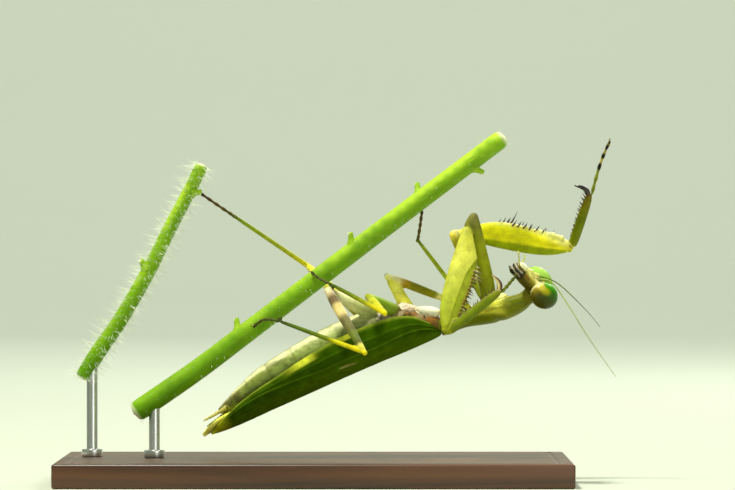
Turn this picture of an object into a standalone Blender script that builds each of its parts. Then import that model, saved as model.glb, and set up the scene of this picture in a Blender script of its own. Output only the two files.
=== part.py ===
"""A praying mantis hanging from a length of plant stem, at life size, on a plain display stand.

Lengths in this file are millimetres and are turned into metres by MM where a mesh is made. +X runs
from the tail to the head, +Y from its left side to its right, +Z up. The origin is the centre of the
stand's underside. The mantis hangs back downwards, so its own dorsal side faces the floor.
"""

import math

import bmesh
import bpy
from mathutils import Matrix, Vector

for old in list(bpy.data.objects):
    bpy.data.objects.remove(old)

MM = 0.001
GAP = 0.06  # air between two solids that meet
SIDES = 12  # round a limb
TRUNK_SIDES = 14
PATH_STEPS = 60  # steps along a limb's curve

# Stand
BASE_SIZE = (84.0, 48.0, 4.0)
BASE_BEVEL = 0.6
ROD_RADIUS = 0.9

# Body frame: the wing roots, the pitch of the hanging body and its roll towards the viewer
WING_ROOT = Vector((20.2, 0.0, 25.1))
BODY_PITCH = math.radians(23.5)
BODY_ROLL = math.radians(17)
ABDOMEN_END = -38.4
WING_SHEET = 0.5  # thickness of a wing
SPINE_TIP = 0.06

# Head frame: the point between the eyes, and the directions of the left side, mouth and face
HEAD_CENTRE = Vector((36.5, -8.6, 32.2))
HEAD_LEFT = Vector((0.20, -0.895, -0.40)).normalized()
HEAD_MOUTH = Vector((-0.66, -0.45, 0.68)).normalized()
HEAD_FACE = HEAD_LEFT.cross(HEAD_MOUTH).normalized() * -1

FORWARD = Vector((math.cos(BODY_PITCH), 0, math.sin(BODY_PITCH)))
BACK_BEFORE_ROLL = Vector((math.sin(BODY_PITCH), 0, -math.cos(BODY_PITCH)))
DORSAL = BACK_BEFORE_ROLL * math.cos(BODY_ROLL) + Vector((0, -math.sin(BODY_ROLL), 0))
LEFT = DORSAL.cross(FORWARD)


# ---------------------------------------------------------------- materials

def material(name, colour, roughness, metallic=0.0):
    made = bpy.data.materials.new(name)
    made.use_nodes = True
    shader = made.node_tree.nodes["Principled BSDF"]
    shader.inputs["Base Color"].default_value = (*colour, 1)
    shader.inputs["Roughness"].default_value = roughness
    shader.inputs["Metallic"].default_value = metallic
    made.diffuse_color = (*colour, 1)
    return made


GREEN = material("body_green", (0.30, 0.42, 0.06), 0.45)
YELLOW = material("leg_yellow", (0.62, 0.62, 0.08), 0.45)
CREAM = material("belly_cream", (0.70, 0.66, 0.38), 0.5)
LEAF = material("wing_green", (0.06, 0.16, 0.02), 0.4)
AMBER = material("hindwing_amber", (0.62, 0.52, 0.16), 0.4)
EYE = material("eye", (0.30, 0.48, 0.12), 0.2)
FEELER = material("feeler", (0.30, 0.28, 0.12), 0.5)
STEM = material("stem_green", (0.24, 0.46, 0.06), 0.5)
WOOD = material("stand_wood", (0.16, 0.09, 0.05), 0.5)
STEEL = material("stand_steel", (0.6, 0.6, 0.6), 0.3, 1.0)


# ---------------------------------------------------------------- shaping tools

def vectors(*rows):
    return [Vector(row) for row in rows]


def in_body(along, left, dorsal):
    """A point in the body frame: along the trunk from the wing roots, to its left, and towards its back."""
    return WING_ROOT + FORWARD * along + LEFT * left + DORSAL * dorsal


def in_head(left, mouth, face):
    return HEAD_CENTRE + HEAD_LEFT * left + HEAD_MOUTH * mouth + HEAD_FACE * face


def blended(table, t):
    """The row of values at t, on a smooth curve through a table of (t, value, ...) rows."""
    if t <= table[0][0]:
        return table[0][1:]
    if t >= table[-1][0]:
        return table[-1][1:]
    i = next(i for i in range(len(table) - 1) if table[i + 1][0] >= t)
    low, high = table[i], table[i + 1]
    before = table[i - 1] if i else low
    after = table[i + 2] if i + 2 < len(table) else high
    span = high[0] - low[0]
    x = (t - low[0]) / span
    row = []
    for k in range(1, len(low)):
        start = (high[k] - before[k]) / (high[0] - before[0]) * span
        end = (after[k] - low[k]) / (after[0] - low[0]) * span
        row.append(
            low[k] * (2 * x**3 - 3 * x**2 + 1) + start * (x**3 - 2 * x**2 + x)
            + high[k] * (3 * x**2 - 2 * x**3) + end * (x**3 - x**2)
        )
    return row


def route(points, count):
    """count points evenly placed along a smooth curve through a few places."""
    lengths = [0.0]
    for a, b in zip(points, points[1:]):
        lengths.append(lengths[-1] + (b - a).length)
    table = [(d, *p) for d, p in zip(lengths, points)]
    return [Vector(blended(table, lengths[-1] * i / (count - 1))) for i in range(count)]


def ring_matrix(centre, tangent, depth_axis, half_width, half_depth):
    """Places a unit circle: its X is the width, its Y the depth axis, its Z the tangent."""
    z = tangent.normalized()
    y = (depth_axis - z * depth_axis.dot(z)).normalized()
    x = y.cross(z)
    turn = Matrix((x, y, z)).transposed().to_4x4()
    size = Matrix.Diagonal((half_width * MM, half_depth * MM, MM, 1))
    return Matrix.Translation(centre * MM) @ turn @ size


def extruded_rings(matrices, sides=SIDES):
    """A closed body: a capped circle, extruded from each ring to the next."""
    mesh = bmesh.new()
    bmesh.ops.create_circle(mesh, cap_ends=True, radius=1, segments=sides, matrix=matrices[0])
    start = next(iter(mesh.faces))
    end = start
    for last, new in zip(matrices, matrices[1:]):
        made = bmesh.ops.extrude_face_region(mesh, geom=[end])["geom"]
        if end is not start:
            mesh.faces.remove(end)
        end = next(part for part in made if isinstance(part, bmesh.types.BMFace))
        moved = [part for part in made if isinstance(part, bmesh.types.BMVert)]
        bmesh.ops.transform(mesh, matrix=new @ last.inverted(), verts=moved)
    bmesh.ops.recalc_face_normals(mesh, faces=mesh.faces)
    return mesh


def cut_off(mesh, point, outward):
    """Removes what lies past a plane, and closes the cut."""
    plane = bmesh.ops.bisect_plane(
        mesh, geom=mesh.verts[:] + mesh.edges[:] + mesh.faces[:], dist=1e-7,
        plane_co=point * MM, plane_no=outward, clear_outer=True,
    )
    rim = [part for part in plane["geom_cut"] if isinstance(part, bmesh.types.BMEdge)]
    bmesh.ops.contextual_create(mesh, geom=rim)
    bmesh.ops.recalc_face_normals(mesh, faces=mesh.faces)


def node(name, mesh, finish, smooth=40):
    data = bpy.data.meshes.new(name)
    mesh.to_mesh(data)
    mesh.free()
    data.shade_smooth()
    data.set_sharp_from_angle(angle=math.radians(smooth))
    data.materials.append(finish)
    made = bpy.data.objects.new(name, data)
    bpy.context.scene.collection.objects.link(made)
    return made


def hidden(name, mesh):
    """A helper that only cuts or joins other shapes."""
    made = node(name, mesh, GREEN)
    made.hide_render = True
    made.display_type = "WIRE"
    return made


def trunk(rows, place, depth_axis, tangent):
    """A body along one axis, from rows of (along, half width, half depth, depth offset)."""
    rings = [
        ring_matrix(place(along, offset), tangent, depth_axis, width, depth)
        for along, width, depth, offset in rows
    ]
    return extruded_rings(rings, TRUNK_SIDES)


def limb(points, profile, depth_axis, stations=9, sides=SIDES):
    """A limb along a curve. profile rows are (t, half width, half depth, depth offset).
    Both ends are rounded and reach half a width past the first and last places."""
    first, last = blended(profile, 0), blended(profile, 1)
    start = points[0] - (points[1] - points[0]).normalized() * min(first[:2]) / 2
    end = points[-1] + (points[-1] - points[-2]).normalized() * min(last[:2]) / 2
    path = route([start, *points[1:-1], end], PATH_STEPS + 1)
    total = sum((b - a).length for a, b in zip(path, path[1:]))
    steps = [i / (stations - 1) for i in range(stations)]
    for tip, size in ((0, min(first[:2])), (1, min(last[:2]))):
        for part in (0.1, 0.5):
            steps.append(abs(tip - part * size / total))
    rings = []
    for t in sorted(s for s in set(steps) if 0 < s < 1):
        low = min(int(t * PATH_STEPS), PATH_STEPS - 1)
        centre = path[low].lerp(path[low + 1], t * PATH_STEPS - low)
        tangent = path[min(low + 2, PATH_STEPS)] - path[max(low - 1, 0)]
        width, depth, offset = blended(profile, t)
        for away, size in ((t * total, min(first[:2])), ((1 - t) * total, min(last[:2]))):
            if away < size:
                width *= math.sqrt(1 - (1 - away / size) ** 2)
                depth *= math.sqrt(1 - (1 - away / size) ** 2)
        along = tangent.normalized()
        across = (depth_axis - along * depth_axis.dot(along)).normalized()
        rings.append(ring_matrix(centre + across * offset, tangent, depth_axis, width, depth))
    return extruded_rings(rings, sides)


def part_joint(joint, here, there):
    """The plane that parts two limbs at a joint: (point, outward direction for the first limb)."""
    outward = ((there - joint).normalized() - (here - joint).normalized()).normalized()
    return joint - outward * GAP / 2, outward


def spine(base, tip, radius):
    length = (tip - base).length
    turn = (tip - base).to_track_quat("Z", "Y").to_matrix().to_4x4()
    mesh = bmesh.new()
    bmesh.ops.create_cone(
        mesh, cap_ends=True, segments=5, radius1=radius * MM, radius2=SPINE_TIP * MM, depth=length * MM,
        matrix=Matrix.Translation((base + tip) / 2 * MM) @ turn,
    )
    return mesh


def joined(meshes):
    whole = bmesh.new()
    for mesh in meshes:
        data = bpy.data.meshes.new("part")
        mesh.to_mesh(data)
        mesh.free()
        whole.from_mesh(data)
        bpy.data.meshes.remove(data)
    return whole


def boolean(target, other, operation):
    step = target.modifiers.new(f"{operation.lower()}_{other.name}", "BOOLEAN")
    step.operation = operation
    step.object = other


def grown_copy(other):
    """A cutter one gap larger than a solid."""
    name = other.name + "_clearance"
    if name in bpy.data.objects:
        return bpy.data.objects[name]
    mesh = bmesh.new()
    mesh.from_mesh(other.data)
    mesh.normal_update()
    shifts = [vertex.normal * GAP * MM * 1.1 for vertex in mesh.verts]
    for vertex, shift in zip(mesh.verts, shifts):
        vertex.co += shift
    return hidden(name, mesh)


def clear_of(piece, *others):
    for other in others:
        boolean(piece, grown_copy(other), "DIFFERENCE")


# ---------------------------------------------------------------- trunk

def body_trunk(name, rows, finish):
    return node(name, trunk(rows, lambda s, d: in_body(s, 0, d), DORSAL, FORWARD), finish)


def rows_between(table, low, high, count):
    """Trunk rows at even steps between two places on a table."""
    steps = [low + (high - low) * i / (count - 1) for i in range(count)]
    return [(along, *blended(table, along)) for along in steps]


# (along, half width, half depth, centre's height towards the back)
TRUNK = [
    (ABDOMEN_END, 0.55, 0.45, -2.1), (-37.4, 1.2, 0.95, -2.2), (-34.4, 2.4, 1.65, -2.65),
    (-30.7, 3.4, 2.5, -3.4), (-25.0, 4.0, 3.0, -3.9), (-20.0, 4.2, 3.4, -4.25),
    (-15.0, 4.1, 3.55, -4.45), (-10.0, 3.8, 3.45, -4.4), (-8.2, 3.6, 3.4, -4.3),
    (-4.2, 3.2, 3.1, -3.85), (-1.6, 2.5, 2.2, -2.95), (0.4, 1.7, 1.6, -1.65),
]
METATHORAX_REAR, MESOTHORAX_REAR, MESOTHORAX_FRONT = -8.4, -4.2, 0.4

abdomen = body_trunk("abdomen", rows_between(TRUNK, ABDOMEN_END, METATHORAX_REAR - GAP, 12), CREAM)
metathorax = body_trunk(
    "metathorax", rows_between(TRUNK, METATHORAX_REAR, MESOTHORAX_REAR - GAP, 4), CREAM
)
mesothorax = body_trunk(
    "mesothorax", rows_between(TRUNK, MESOTHORAX_REAR, MESOTHORAX_FRONT, 5), CREAM
)

# The prothorax leads from the wing roots to the neck and turns towards the viewer.
PROTHORAX_PATH = vectors(
    (20.8, -0.1, 25.4), (24.3, -1.8, 27.0), (27.4, -3.4, 27.5), (30.4, -5.1, 28.4), (33.7, -6.9, 29.7),
    (34.6, -7.4, 30.3),
)
PROTHORAX_BACK = Vector((0.35, -0.42, -0.84))
PROTHORAX_PROFILE = [
    (0.0, 1.9, 1.6, 0), (0.2, 1.75, 1.45, 0), (0.45, 2.2, 1.5, 0), (0.66, 3.0, 1.7, 0),
    (0.85, 2.4, 1.5, 0), (1.0, 1.7, 1.2, 0),
]
mesh = limb(PROTHORAX_PATH, PROTHORAX_PROFILE, PROTHORAX_BACK, stations=9, sides=14)
cut_off(mesh, in_body(MESOTHORAX_FRONT + GAP, 0, 0), -FORWARD)
prothorax = node("prothorax", mesh, GREEN)


# ---------------------------------------------------------------- head

HEAD_ROWS = [
    # (towards the mouth, half width, half depth, towards the face)
    (-2.7, 1.3, 0.5, -0.1), (-2.3, 2.5, 0.95, -0.1), (-1.2, 3.3, 1.45, -0.1), (0.3, 3.0, 1.55, -0.15),
    (1.6, 2.1, 1.45, -0.25), (2.8, 1.45, 1.35, -0.4), (3.8, 1.2, 1.3, -0.4), (4.6, 1.05, 1.25, -0.35),
    (5.3, 0.85, 1.0, -0.4), (5.7, 0.5, 0.55, -0.45),
]
EYE_CENTRE = (3.1, -0.3, 0.1)
EYE_HALF = (1.7, 2.75, 2.15)  # sideways, towards the mouth, towards the face
EYE_SLANT = math.radians(14)


def eye(name, side):
    centre = in_head(side * EYE_CENTRE[0], *EYE_CENTRE[1:])
    slant = Matrix.Rotation(side * EYE_SLANT, 3, HEAD_FACE)
    directions = (HEAD_LEFT, HEAD_MOUTH, HEAD_FACE)
    axes = [slant @ axis * half * MM for axis, half in zip(directions, EYE_HALF)]
    mesh = bmesh.new()
    bmesh.ops.create_uvsphere(mesh, u_segments=16, v_segments=9, radius=1)
    place = Matrix.Translation(centre * MM) @ Matrix(axes).transposed().to_4x4()
    bmesh.ops.transform(mesh, matrix=place, verts=mesh.verts)
    bmesh.ops.recalc_face_normals(mesh, faces=mesh.faces)
    return node(name, mesh, EYE)


eyes = [eye("eye_left", 1), eye("eye_right", -1)]
head = node("head", trunk(HEAD_ROWS, lambda m, f: in_head(0, m, f), HEAD_FACE, HEAD_MOUTH), GREEN)
clear_of(head, *eyes)

NECK_PATH = [*vectors((33.6, -6.9, 29.8), (34.9, -7.6, 30.6)), in_head(0, 0.3, -0.6)]
mesh = limb(NECK_PATH, [(0, 1.3, 1.4, 0), (1, 1.3, 1.4, 0)], HEAD_LEFT, stations=5)
neck = node("neck", mesh, GREEN)
clear_of(neck, prothorax, head, *eyes)

ANTENNA_RADIUS = 0.27
ANTENNA_PROFILE = [
    (0, ANTENNA_RADIUS * 1.3, ANTENNA_RADIUS * 1.3, 0), (0.1, ANTENNA_RADIUS, ANTENNA_RADIUS, 0),
    (1, ANTENNA_RADIUS * 0.9, ANTENNA_RADIUS * 0.9, 0),
]
ANTENNAE = {
    "antenna_left": vectors(
        in_head(0.6, 1.35, 1.0), (38.6, -10.6, 32.9), (41.4, -11.2, 29.2), (44.5, -11.6, 24.2),
        (49.0, -12.0, 17.7),
    ),
    "antenna_right": vectors(
        in_head(-0.6, 1.35, 1.0), (39.2, -8.4, 33.0), (42.2, -6.3, 30.6), (45.2, -3.4, 27.7),
        (47.0, -1.2, 25.6),
    ),
}
for name, path in ANTENNAE.items():
    feeler = node(name, limb(path, ANTENNA_PROFILE, HEAD_LEFT, stations=10, sides=6), FEELER)
    clear_of(feeler, head, *eyes)

PALP_RADIUS = 0.28
PALP_PROFILE = [(0, PALP_RADIUS, PALP_RADIUS, 0), (1, PALP_RADIUS, PALP_RADIUS, 0)]
PALPS = {  # the left palp is held straight out, the right one curls
    "palp_left": ((0.85, 4.5, -0.3), (0.95, 5.8, 0.2), (0.85, 7.1, 0.9), (0.8, 8.3, 1.6)),
    "palp_right": ((-0.9, 4.2, -0.2), (-1.1, 4.7, 0.7), (-0.9, 5.1, 1.5), (-0.75, 5.8, 1.9)),
}
for name in PALPS:
    path = [in_head(*place) for place in PALPS[name]]
    palp = node(name, limb(path, PALP_PROFILE, HEAD_LEFT, stations=6, sides=6), GREEN)
    clear_of(palp, head)


# ---------------------------------------------------------------- wings

# (along, half width, height of the mid-line, height of the rim), in the body frame
WING_ARCH = [
    (-40.4, 0.75, 1.1, 0.6), (-39.0, 1.8, 1.15, 0.1), (-36.8, 2.8, 1.1, -0.5), (-34.3, 3.5, 1.0, -1.2),
    (-31.0, 4.1, 0.85, -1.85), (-27.0, 4.7, 0.75, -2.4), (-23.0, 5.0, 0.7, -3.1),
    (-15.0, 5.1, 0.65, -4.05), (-7.0, 4.7, 0.8, -3.9), (-3.1, 3.8, 0.95, -2.9), (-0.4, 2.2, 1.0, -0.7),
]
ARCH_POWER = 0.62  # under 1 squares the arch's shoulders


def arch_point(along, angle, inset):
    """A point on the wings' arch: angle 0 is the left rim, 90 the mid-line, 180 the right rim."""
    width, top, rim = blended(WING_ARCH, along)
    across, up = math.cos(math.radians(angle)), math.sin(math.radians(angle))
    shape = math.copysign(abs(across) ** ARCH_POWER, across)
    height = rim + (top - inset - rim) * abs(up) ** ARCH_POWER
    return in_body(along, (width - inset) * shape, height)


def wing(name, span, angles, inset, finish, count=12, steps=9):
    """A curved sheet with a wall, between two places along the body and two angles of the arch."""
    start, end = span
    mesh = bmesh.new()
    grid = []
    for i in range(count):
        t = i / (count - 1)
        along = start + (end - start) * t
        row = []
        for j in range(steps):
            share = j / (steps - 1)
            angle = angles[0] + (angles[1] - angles[0]) * share
            row.append(mesh.verts.new(arch_point(along, angle, inset(angle)) * MM))
        grid.append(row)
    for low, high in zip(grid, grid[1:]):
        for j in range(steps - 1):
            mesh.faces.new((low[j], high[j], high[j + 1], low[j + 1]))
    mesh.normal_update()
    made = node(name, mesh, finish)
    wall = made.modifiers.new("wall", "SOLIDIFY")
    wall.thickness = WING_SHEET * MM
    wall.offset = 0
    return made


LAYER = WING_SHEET + 1.5 * GAP
HALF = WING_SHEET / 2
LAP_EDGE = 140  # where the left wing's edge lies on the right wing
LAP_END = 172  # where the right wing has come out to the surface


def right_inset(angle):
    """The right wing lies one layer in beneath the left, and comes out to the surface past its edge."""
    return HALF + LAYER * min(1.0, (180 - angle) / (LAP_END - LAP_EDGE))


wing("tegmen_left", (-0.5, -40.4), (0, LAP_EDGE), lambda angle: HALF, LEAF)
wing("tegmen_right", (-0.5, -39.6), (180, 48), right_inset, LEAF)

# The folded hindwings lie under the others and show past their ends.
HINDWING = [(0, 0.9, 0.26, 0), (0.5, 0.75, 0.26, 0), (0.85, 0.6, 0.26, 0), (1, 0.3, 0.25, 0)]
for side, name in ((1, "hindwing_left"), (-1, "hindwing_right")):
    blade = [
        in_body(-33.0, side * 1.05, -0.55), in_body(-36.5, side * 0.85, -0.5),
        in_body(-39.3, side * 0.75, -0.4), in_body(-42.3, side * 0.5, 0.55),
    ]
    node(name, limb(blade, HINDWING, DORSAL, stations=8, sides=10), AMBER)

CERCUS = [(0, 0.36, 0.36, 0), (0.5, 0.34, 0.34, 0), (1, 0.2, 0.2, 0)]
for side, name in ((1, "cercus_left"), (-1, "cercus_right")):
    path = [
        in_body(-36.9, side * 1.1, -1.9), in_body(-39.3, side * 1.75, -1.4),
        in_body(-41.2, side * 2.0, -1.15),
    ]
    cercus = node(name, limb(path, CERCUS, DORSAL, stations=5, sides=6), YELLOW)
    clear_of(cercus, abdomen)


# ---------------------------------------------------------------- forelegs

FEMUR_PROFILE = [
    # (t, half thickness, half depth, offset towards the spines)
    (0.0, 0.7, 0.8, 0.0), (0.08, 0.8, 1.1, 0.1), (0.2, 0.95, 1.7, 0.4), (0.32, 1.1, 2.2, 0.6),
    (0.45, 1.1, 2.3, 0.5), (0.62, 1.0, 2.2, 0.15), (0.8, 0.9, 1.85, -0.1), (0.92, 0.75, 1.35, -0.05),
    (1.0, 0.6, 0.75, 0.0),
]
FORE_COXA_PROFILE = [
    (0, 1.0, 1.5, 0), (0.25, 0.9, 1.4, 0), (0.6, 0.78, 1.0, 0), (0.9, 0.75, 0.8, 0),
    (1, 0.7, 0.7, 0),
]
TROCHANTER_PROFILE = [(0, 0.7, 0.75, 0), (1, 0.7, 0.8, 0)]
FORE_TIBIA_PROFILE = [(0, 0.5, 0.6, 0), (0.15, 0.6, 0.85, 0), (0.7, 0.56, 0.8, 0), (1, 0.46, 0.56, 0)]
FORE_TARSUS_PROFILE = [(0, 0.3, 0.3, 0), (0.5, 0.28, 0.28, 0), (1, 0.26, 0.26, 0)]
CLAW_PROFILE = [(0, 0.42, 0.42, 0), (0.5, 0.3, 0.3, 0), (1, 0.1, 0.1, 0)]
CLAW_LENGTH = 2.8


def spine_row(axis, profile, ventral, side, steps, lengths, lean, radius):
    """Spines on a limb's ventral edge. axis is (start, end); lean tips them towards the end."""
    start, end = axis
    along = (end - start).normalized()
    ventral = (ventral - along * ventral.dot(along)).normalized()
    across = ventral.cross(along)
    spines = []
    for t, length in zip(steps, lengths):
        width, depth, offset = blended(profile, t)
        foot = start.lerp(end, t) + ventral * (offset + depth * 0.6) + across * side * width * 0.4
        direction = (ventral + along * lean + across * side * 0.25).normalized()
        spines.append(spine(foot, foot + direction * (length + depth * 0.4), radius))
    return spines


def even(low, high, count):
    return [low + (high - low) * i / (count - 1) for i in range(count)]


def foreleg(side, side_sign, joints, ventral, tibia_ventral, tarsus_path):
    """One raptorial leg from its joints. ventral is the side of the femur with the spines."""
    root, apex, hinge, knee, ankle = joints
    coxa_mesh = limb([root, apex], FORE_COXA_PROFILE, Vector((1, 0, 0.2)), stations=5, sides=10)
    cut_off(coxa_mesh, *part_joint(apex, root, hinge))
    coxa = node(f"fore_coxa_{side}", coxa_mesh, GREEN)
    clear_of(coxa, prothorax)

    trochanter_mesh = limb([apex, hinge], TROCHANTER_PROFILE, ventral, stations=3, sides=10)
    cut_off(trochanter_mesh, *part_joint(apex, hinge, root))
    cut_off(trochanter_mesh, *part_joint(hinge, apex, knee))
    node(f"fore_trochanter_{side}", trochanter_mesh, GREEN)

    femur_mesh = limb([hinge, knee], FEMUR_PROFILE, ventral, stations=10, sides=12)
    cut_off(femur_mesh, *part_joint(hinge, knee, apex))
    cut_off(femur_mesh, *part_joint(knee, hinge, ankle))
    femur = node(f"fore_femur_{side}", femur_mesh, YELLOW)
    axis = (hinge, knee)
    spines = spine_row(
        axis, FEMUR_PROFILE, ventral, -side_sign, even(0.42, 0.82, 8), [0.85, 0.5] * 4, 0.35, 0.22
    )
    spines += spine_row(
        axis, FEMUR_PROFILE, ventral, side_sign, even(0.45, 0.8, 4), [1.3] * 4, 0.35, 0.26
    )
    spines += spine_row(
        axis, FEMUR_PROFILE, ventral, 0, even(0.33, 0.45, 4), [0.9, 1.3, 1.5, 2.0], 0.5, 0.28
    )
    boolean(femur, hidden(f"fore_femur_{side}_spines", joined(spines)), "UNION")

    tibia_mesh = limb([knee, ankle], FORE_TIBIA_PROFILE, tibia_ventral, stations=7, sides=10)
    cut_off(tibia_mesh, *part_joint(knee, ankle, hinge))
    tibia = node(f"fore_tibia_{side}", tibia_mesh, GREEN)
    along = (ankle - knee).normalized()
    bend = (tibia_ventral - along * tibia_ventral.dot(along)).normalized()
    claw_path = [
        ankle - along * 0.5 + bend * 0.1, ankle + along * 0.7 + bend * 0.9,
        ankle + along * 1.15 + bend * CLAW_LENGTH * 0.7, ankle + along * 1.1 + bend * CLAW_LENGTH,
    ]
    claw = hidden(
        f"fore_tibia_{side}_claw", limb(claw_path, CLAW_PROFILE, along, stations=7, sides=8)
    )
    tibia_spines = []
    for way, longest, count in ((1, 0.95, 7), (-1, 0.8, 6)):
        tibia_spines += spine_row(
            (knee, ankle), FORE_TIBIA_PROFILE, tibia_ventral, way, even(0.25, 0.95, count),
            even(longest * 0.4, longest, count), 0.55, 0.18,
        )
    boolean(tibia, hidden(f"fore_tibia_{side}_spines", joined(tibia_spines)), "UNION")
    boolean(tibia, claw, "UNION")

    foot = ankle + along * 0.15 - bend * 0.3
    tarsus_mesh = limb([foot, *tarsus_path], FORE_TARSUS_PROFILE, bend, stations=6, sides=6)
    tarsus = node(f"fore_tarsus_{side}", tarsus_mesh, GREEN)
    clear_of(tarsus, tibia, claw, head)


foreleg(
    "left", 1,
    vectors(
        (28.6, -6.2, 30.2), (26.1, -8.0, 44.0), (25.0, -8.3, 42.0), (21.5, -15.0, 24.9),
        (30.2, -15.2, 31.7),
    ),
    Vector((0.98, 0.0, -0.2)), Vector((-0.6, 0.0, 0.8)),
    vectors((31.6, -14.0, 32.8), (32.3, -13.3, 33.6), (33.0, -12.8, 34.4)),
)
foreleg(
    "right", -1,
    vectors(
        (28.8, -3.2, 29.8), (22.7, 4.2, 40.9), (23.7, 4.5, 41.0), (42.6, 5.5, 38.8),
        (45.4, 0.9, 47.5),
    ),
    Vector((0.1, 0.0, 1.0)), Vector((-0.95, 0.1, 0.3)),
    vectors((46.7, 0.2, 51.3), (47.6, 0.0, 54.0), (48.7, -0.3, 56.3)),
)


# ---------------------------------------------------------------- walking legs

COXA_PROFILE = [(0, 1.25, 1.35, 0), (0.4, 1.1, 1.2, 0), (0.85, 0.85, 0.88, 0), (1, 0.68, 0.68, 0)]
WALK_FEMUR_PROFILES = {
    "mid": [
        (0, 0.6, 0.62, 0), (0.12, 0.68, 0.75, 0), (0.45, 0.66, 0.74, 0), (0.8, 0.46, 0.5, 0),
        (0.94, 0.5, 0.55, 0), (1, 0.55, 0.6, 0),
    ],
    "hind": [
        (0, 0.68, 0.72, 0), (0.12, 0.82, 0.88, 0), (0.45, 0.86, 0.92, 0), (0.72, 0.68, 0.72, 0),
        (0.9, 0.52, 0.56, 0), (1, 0.56, 0.6, 0),
    ],
}
WALK_TIBIA_PROFILE = [(0, 0.5, 0.55, 0), (0.08, 0.42, 0.45, 0), (0.6, 0.36, 0.38, 0), (1, 0.34, 0.34, 0)]
WALK_TARSUS_PROFILE = [(0, 0.3, 0.3, 0), (0.35, 0.27, 0.27, 0), (0.8, 0.27, 0.27, 0), (1, 0.3, 0.3, 0)]


def walking_leg(pair, side, root, joints, tarsus_path, bodies):
    """One plain leg: the coxa grows from the thorax, and each piece follows at the next joint."""
    hinge, knee, ankle = joints
    coxa_mesh = limb([root, hinge], COXA_PROFILE, DORSAL, stations=6)
    cut_off(coxa_mesh, *part_joint(hinge, root, knee))
    coxa = node(f"{pair}_coxa_{side}", coxa_mesh, CREAM)
    clear_of(coxa, *bodies)

    femur_mesh = limb([hinge, knee], WALK_FEMUR_PROFILES[pair], FORWARD, stations=7, sides=8)
    cut_off(femur_mesh, *part_joint(hinge, knee, root))
    cut_off(femur_mesh, *part_joint(knee, hinge, ankle))
    femur = node(f"{pair}_femur_{side}", femur_mesh, CREAM)
    clear_of(femur, *bodies)

    tibia_mesh = limb([knee, ankle], WALK_TIBIA_PROFILE, FORWARD, stations=5, sides=8)
    cut_off(tibia_mesh, *part_joint(knee, ankle, hinge))
    cut_off(tibia_mesh, *part_joint(ankle, knee, tarsus_path[0]))
    node(f"{pair}_tibia_{side}", tibia_mesh, YELLOW)

    tarsus_mesh = limb([ankle, *tarsus_path], WALK_TARSUS_PROFILE, FORWARD, stations=6, sides=6)
    cut_off(tarsus_mesh, *part_joint(ankle, tarsus_path[0], knee))
    node(f"{pair}_tarsus_{side}", tarsus_mesh, GREEN)


walking_leg(
    "mid", "left", in_body(-4.6, 1.4, -4.6),
    vectors((8.9, -4.7, 30.5), (11.4, -16.4, 28.1), (3.0, -4.5, 32.5)),
    vectors((0.4, -2.4, 33.8), (-0.6, -1.7, 34.7)), (mesothorax, metathorax),
)
walking_leg(
    "mid", "right", in_body(-2.9, -1.3, -4.4),
    vectors((12.2, 2.4, 33.8), (25.6, 4.5, 28.6), (17.0, 2.9, 39.9)),
    vectors((17.4, 2.4, 42.5), (17.7, 2.1, 44.9)), (mesothorax, metathorax),
)
walking_leg(
    "hind", "left", in_body(-8.3, 1.9, -5.8),
    vectors((2.3, -4.5, 31.4), (8.1, -17.5, 21.8), (-5.7, -5.2, 26.6)),
    vectors((-8.4, -3.2, 26.9), (-10.1, -2.3, 25.6)), (metathorax, abdomen),
)
walking_leg(
    "hind", "right", in_body(-8.6, -1.7, -5.4),
    vectors((5.2, 4.2, 29.4), (-1.4, 16.0, 35.6), (-13.5, 5.3, 43.9)),
    vectors((-16.6, 4.4, 46.0), (-19.2, 3.8, 47.8)), (metathorax, abdomen),
)


# ---------------------------------------------------------------- perch and stand

PERCH_RADIUS = 1.65
BRANCH_RADIUS = 1.15
PERCH_PATH = vectors(
    (-30.0, 0.0, 11.2), (-19.7, 0.0, 18.3), (-10.3, 0.0, 25.4), (4.4, 0.0, 36.6), (14.1, 0.0, 44.0),
    (27.3, 0.0, 54.0), (31.4, 0.0, 57.1),
)
BRANCH_PATH = vectors(
    (-38.7, 4.0, 16.8), (-36.3, 4.0, 20.9), (-32.2, 4.0, 26.9), (-27.7, 4.0, 34.7),
    (-24.3, 4.0, 41.5), (-20.8, 4.0, 48.2), (-18.7, 4.0, 52.6),
)
SIDEWAYS = Vector((0, 1, 0))


def stem(name, points, low_radius, high_radius, count):
    path = route(points, count)
    rings = []
    for i, centre in enumerate(path):
        radius = low_radius + (high_radius - low_radius) * i / (count - 1)
        tangent = path[min(i + 1, count - 1)] - path[max(i - 1, 0)]
        rings.append(ring_matrix(centre, tangent, SIDEWAYS, radius, radius))
    return node(name, extruded_rings(rings), STEM)


perch = stem("perch_stem", PERCH_PATH, PERCH_RADIUS * 1.05, PERCH_RADIUS * 0.9, 9)
branch = stem("perch_branch", BRANCH_PATH, BRANCH_RADIUS * 1.15, BRANCH_RADIUS * 0.9, 8)


def stand_base():
    mesh = bmesh.new()
    length, depth, height = (size * MM for size in BASE_SIZE)
    place = Matrix.Translation((0, 0, height / 2)) @ Matrix.Diagonal((length, depth, height, 1))
    bmesh.ops.create_cube(mesh, size=1, matrix=place)
    bmesh.ops.bevel(
        mesh, geom=mesh.edges[:], offset=BASE_BEVEL * MM, segments=1, profile=0.5, affect="EDGES"
    )
    return node("stand_base", mesh, WOOD)


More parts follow.
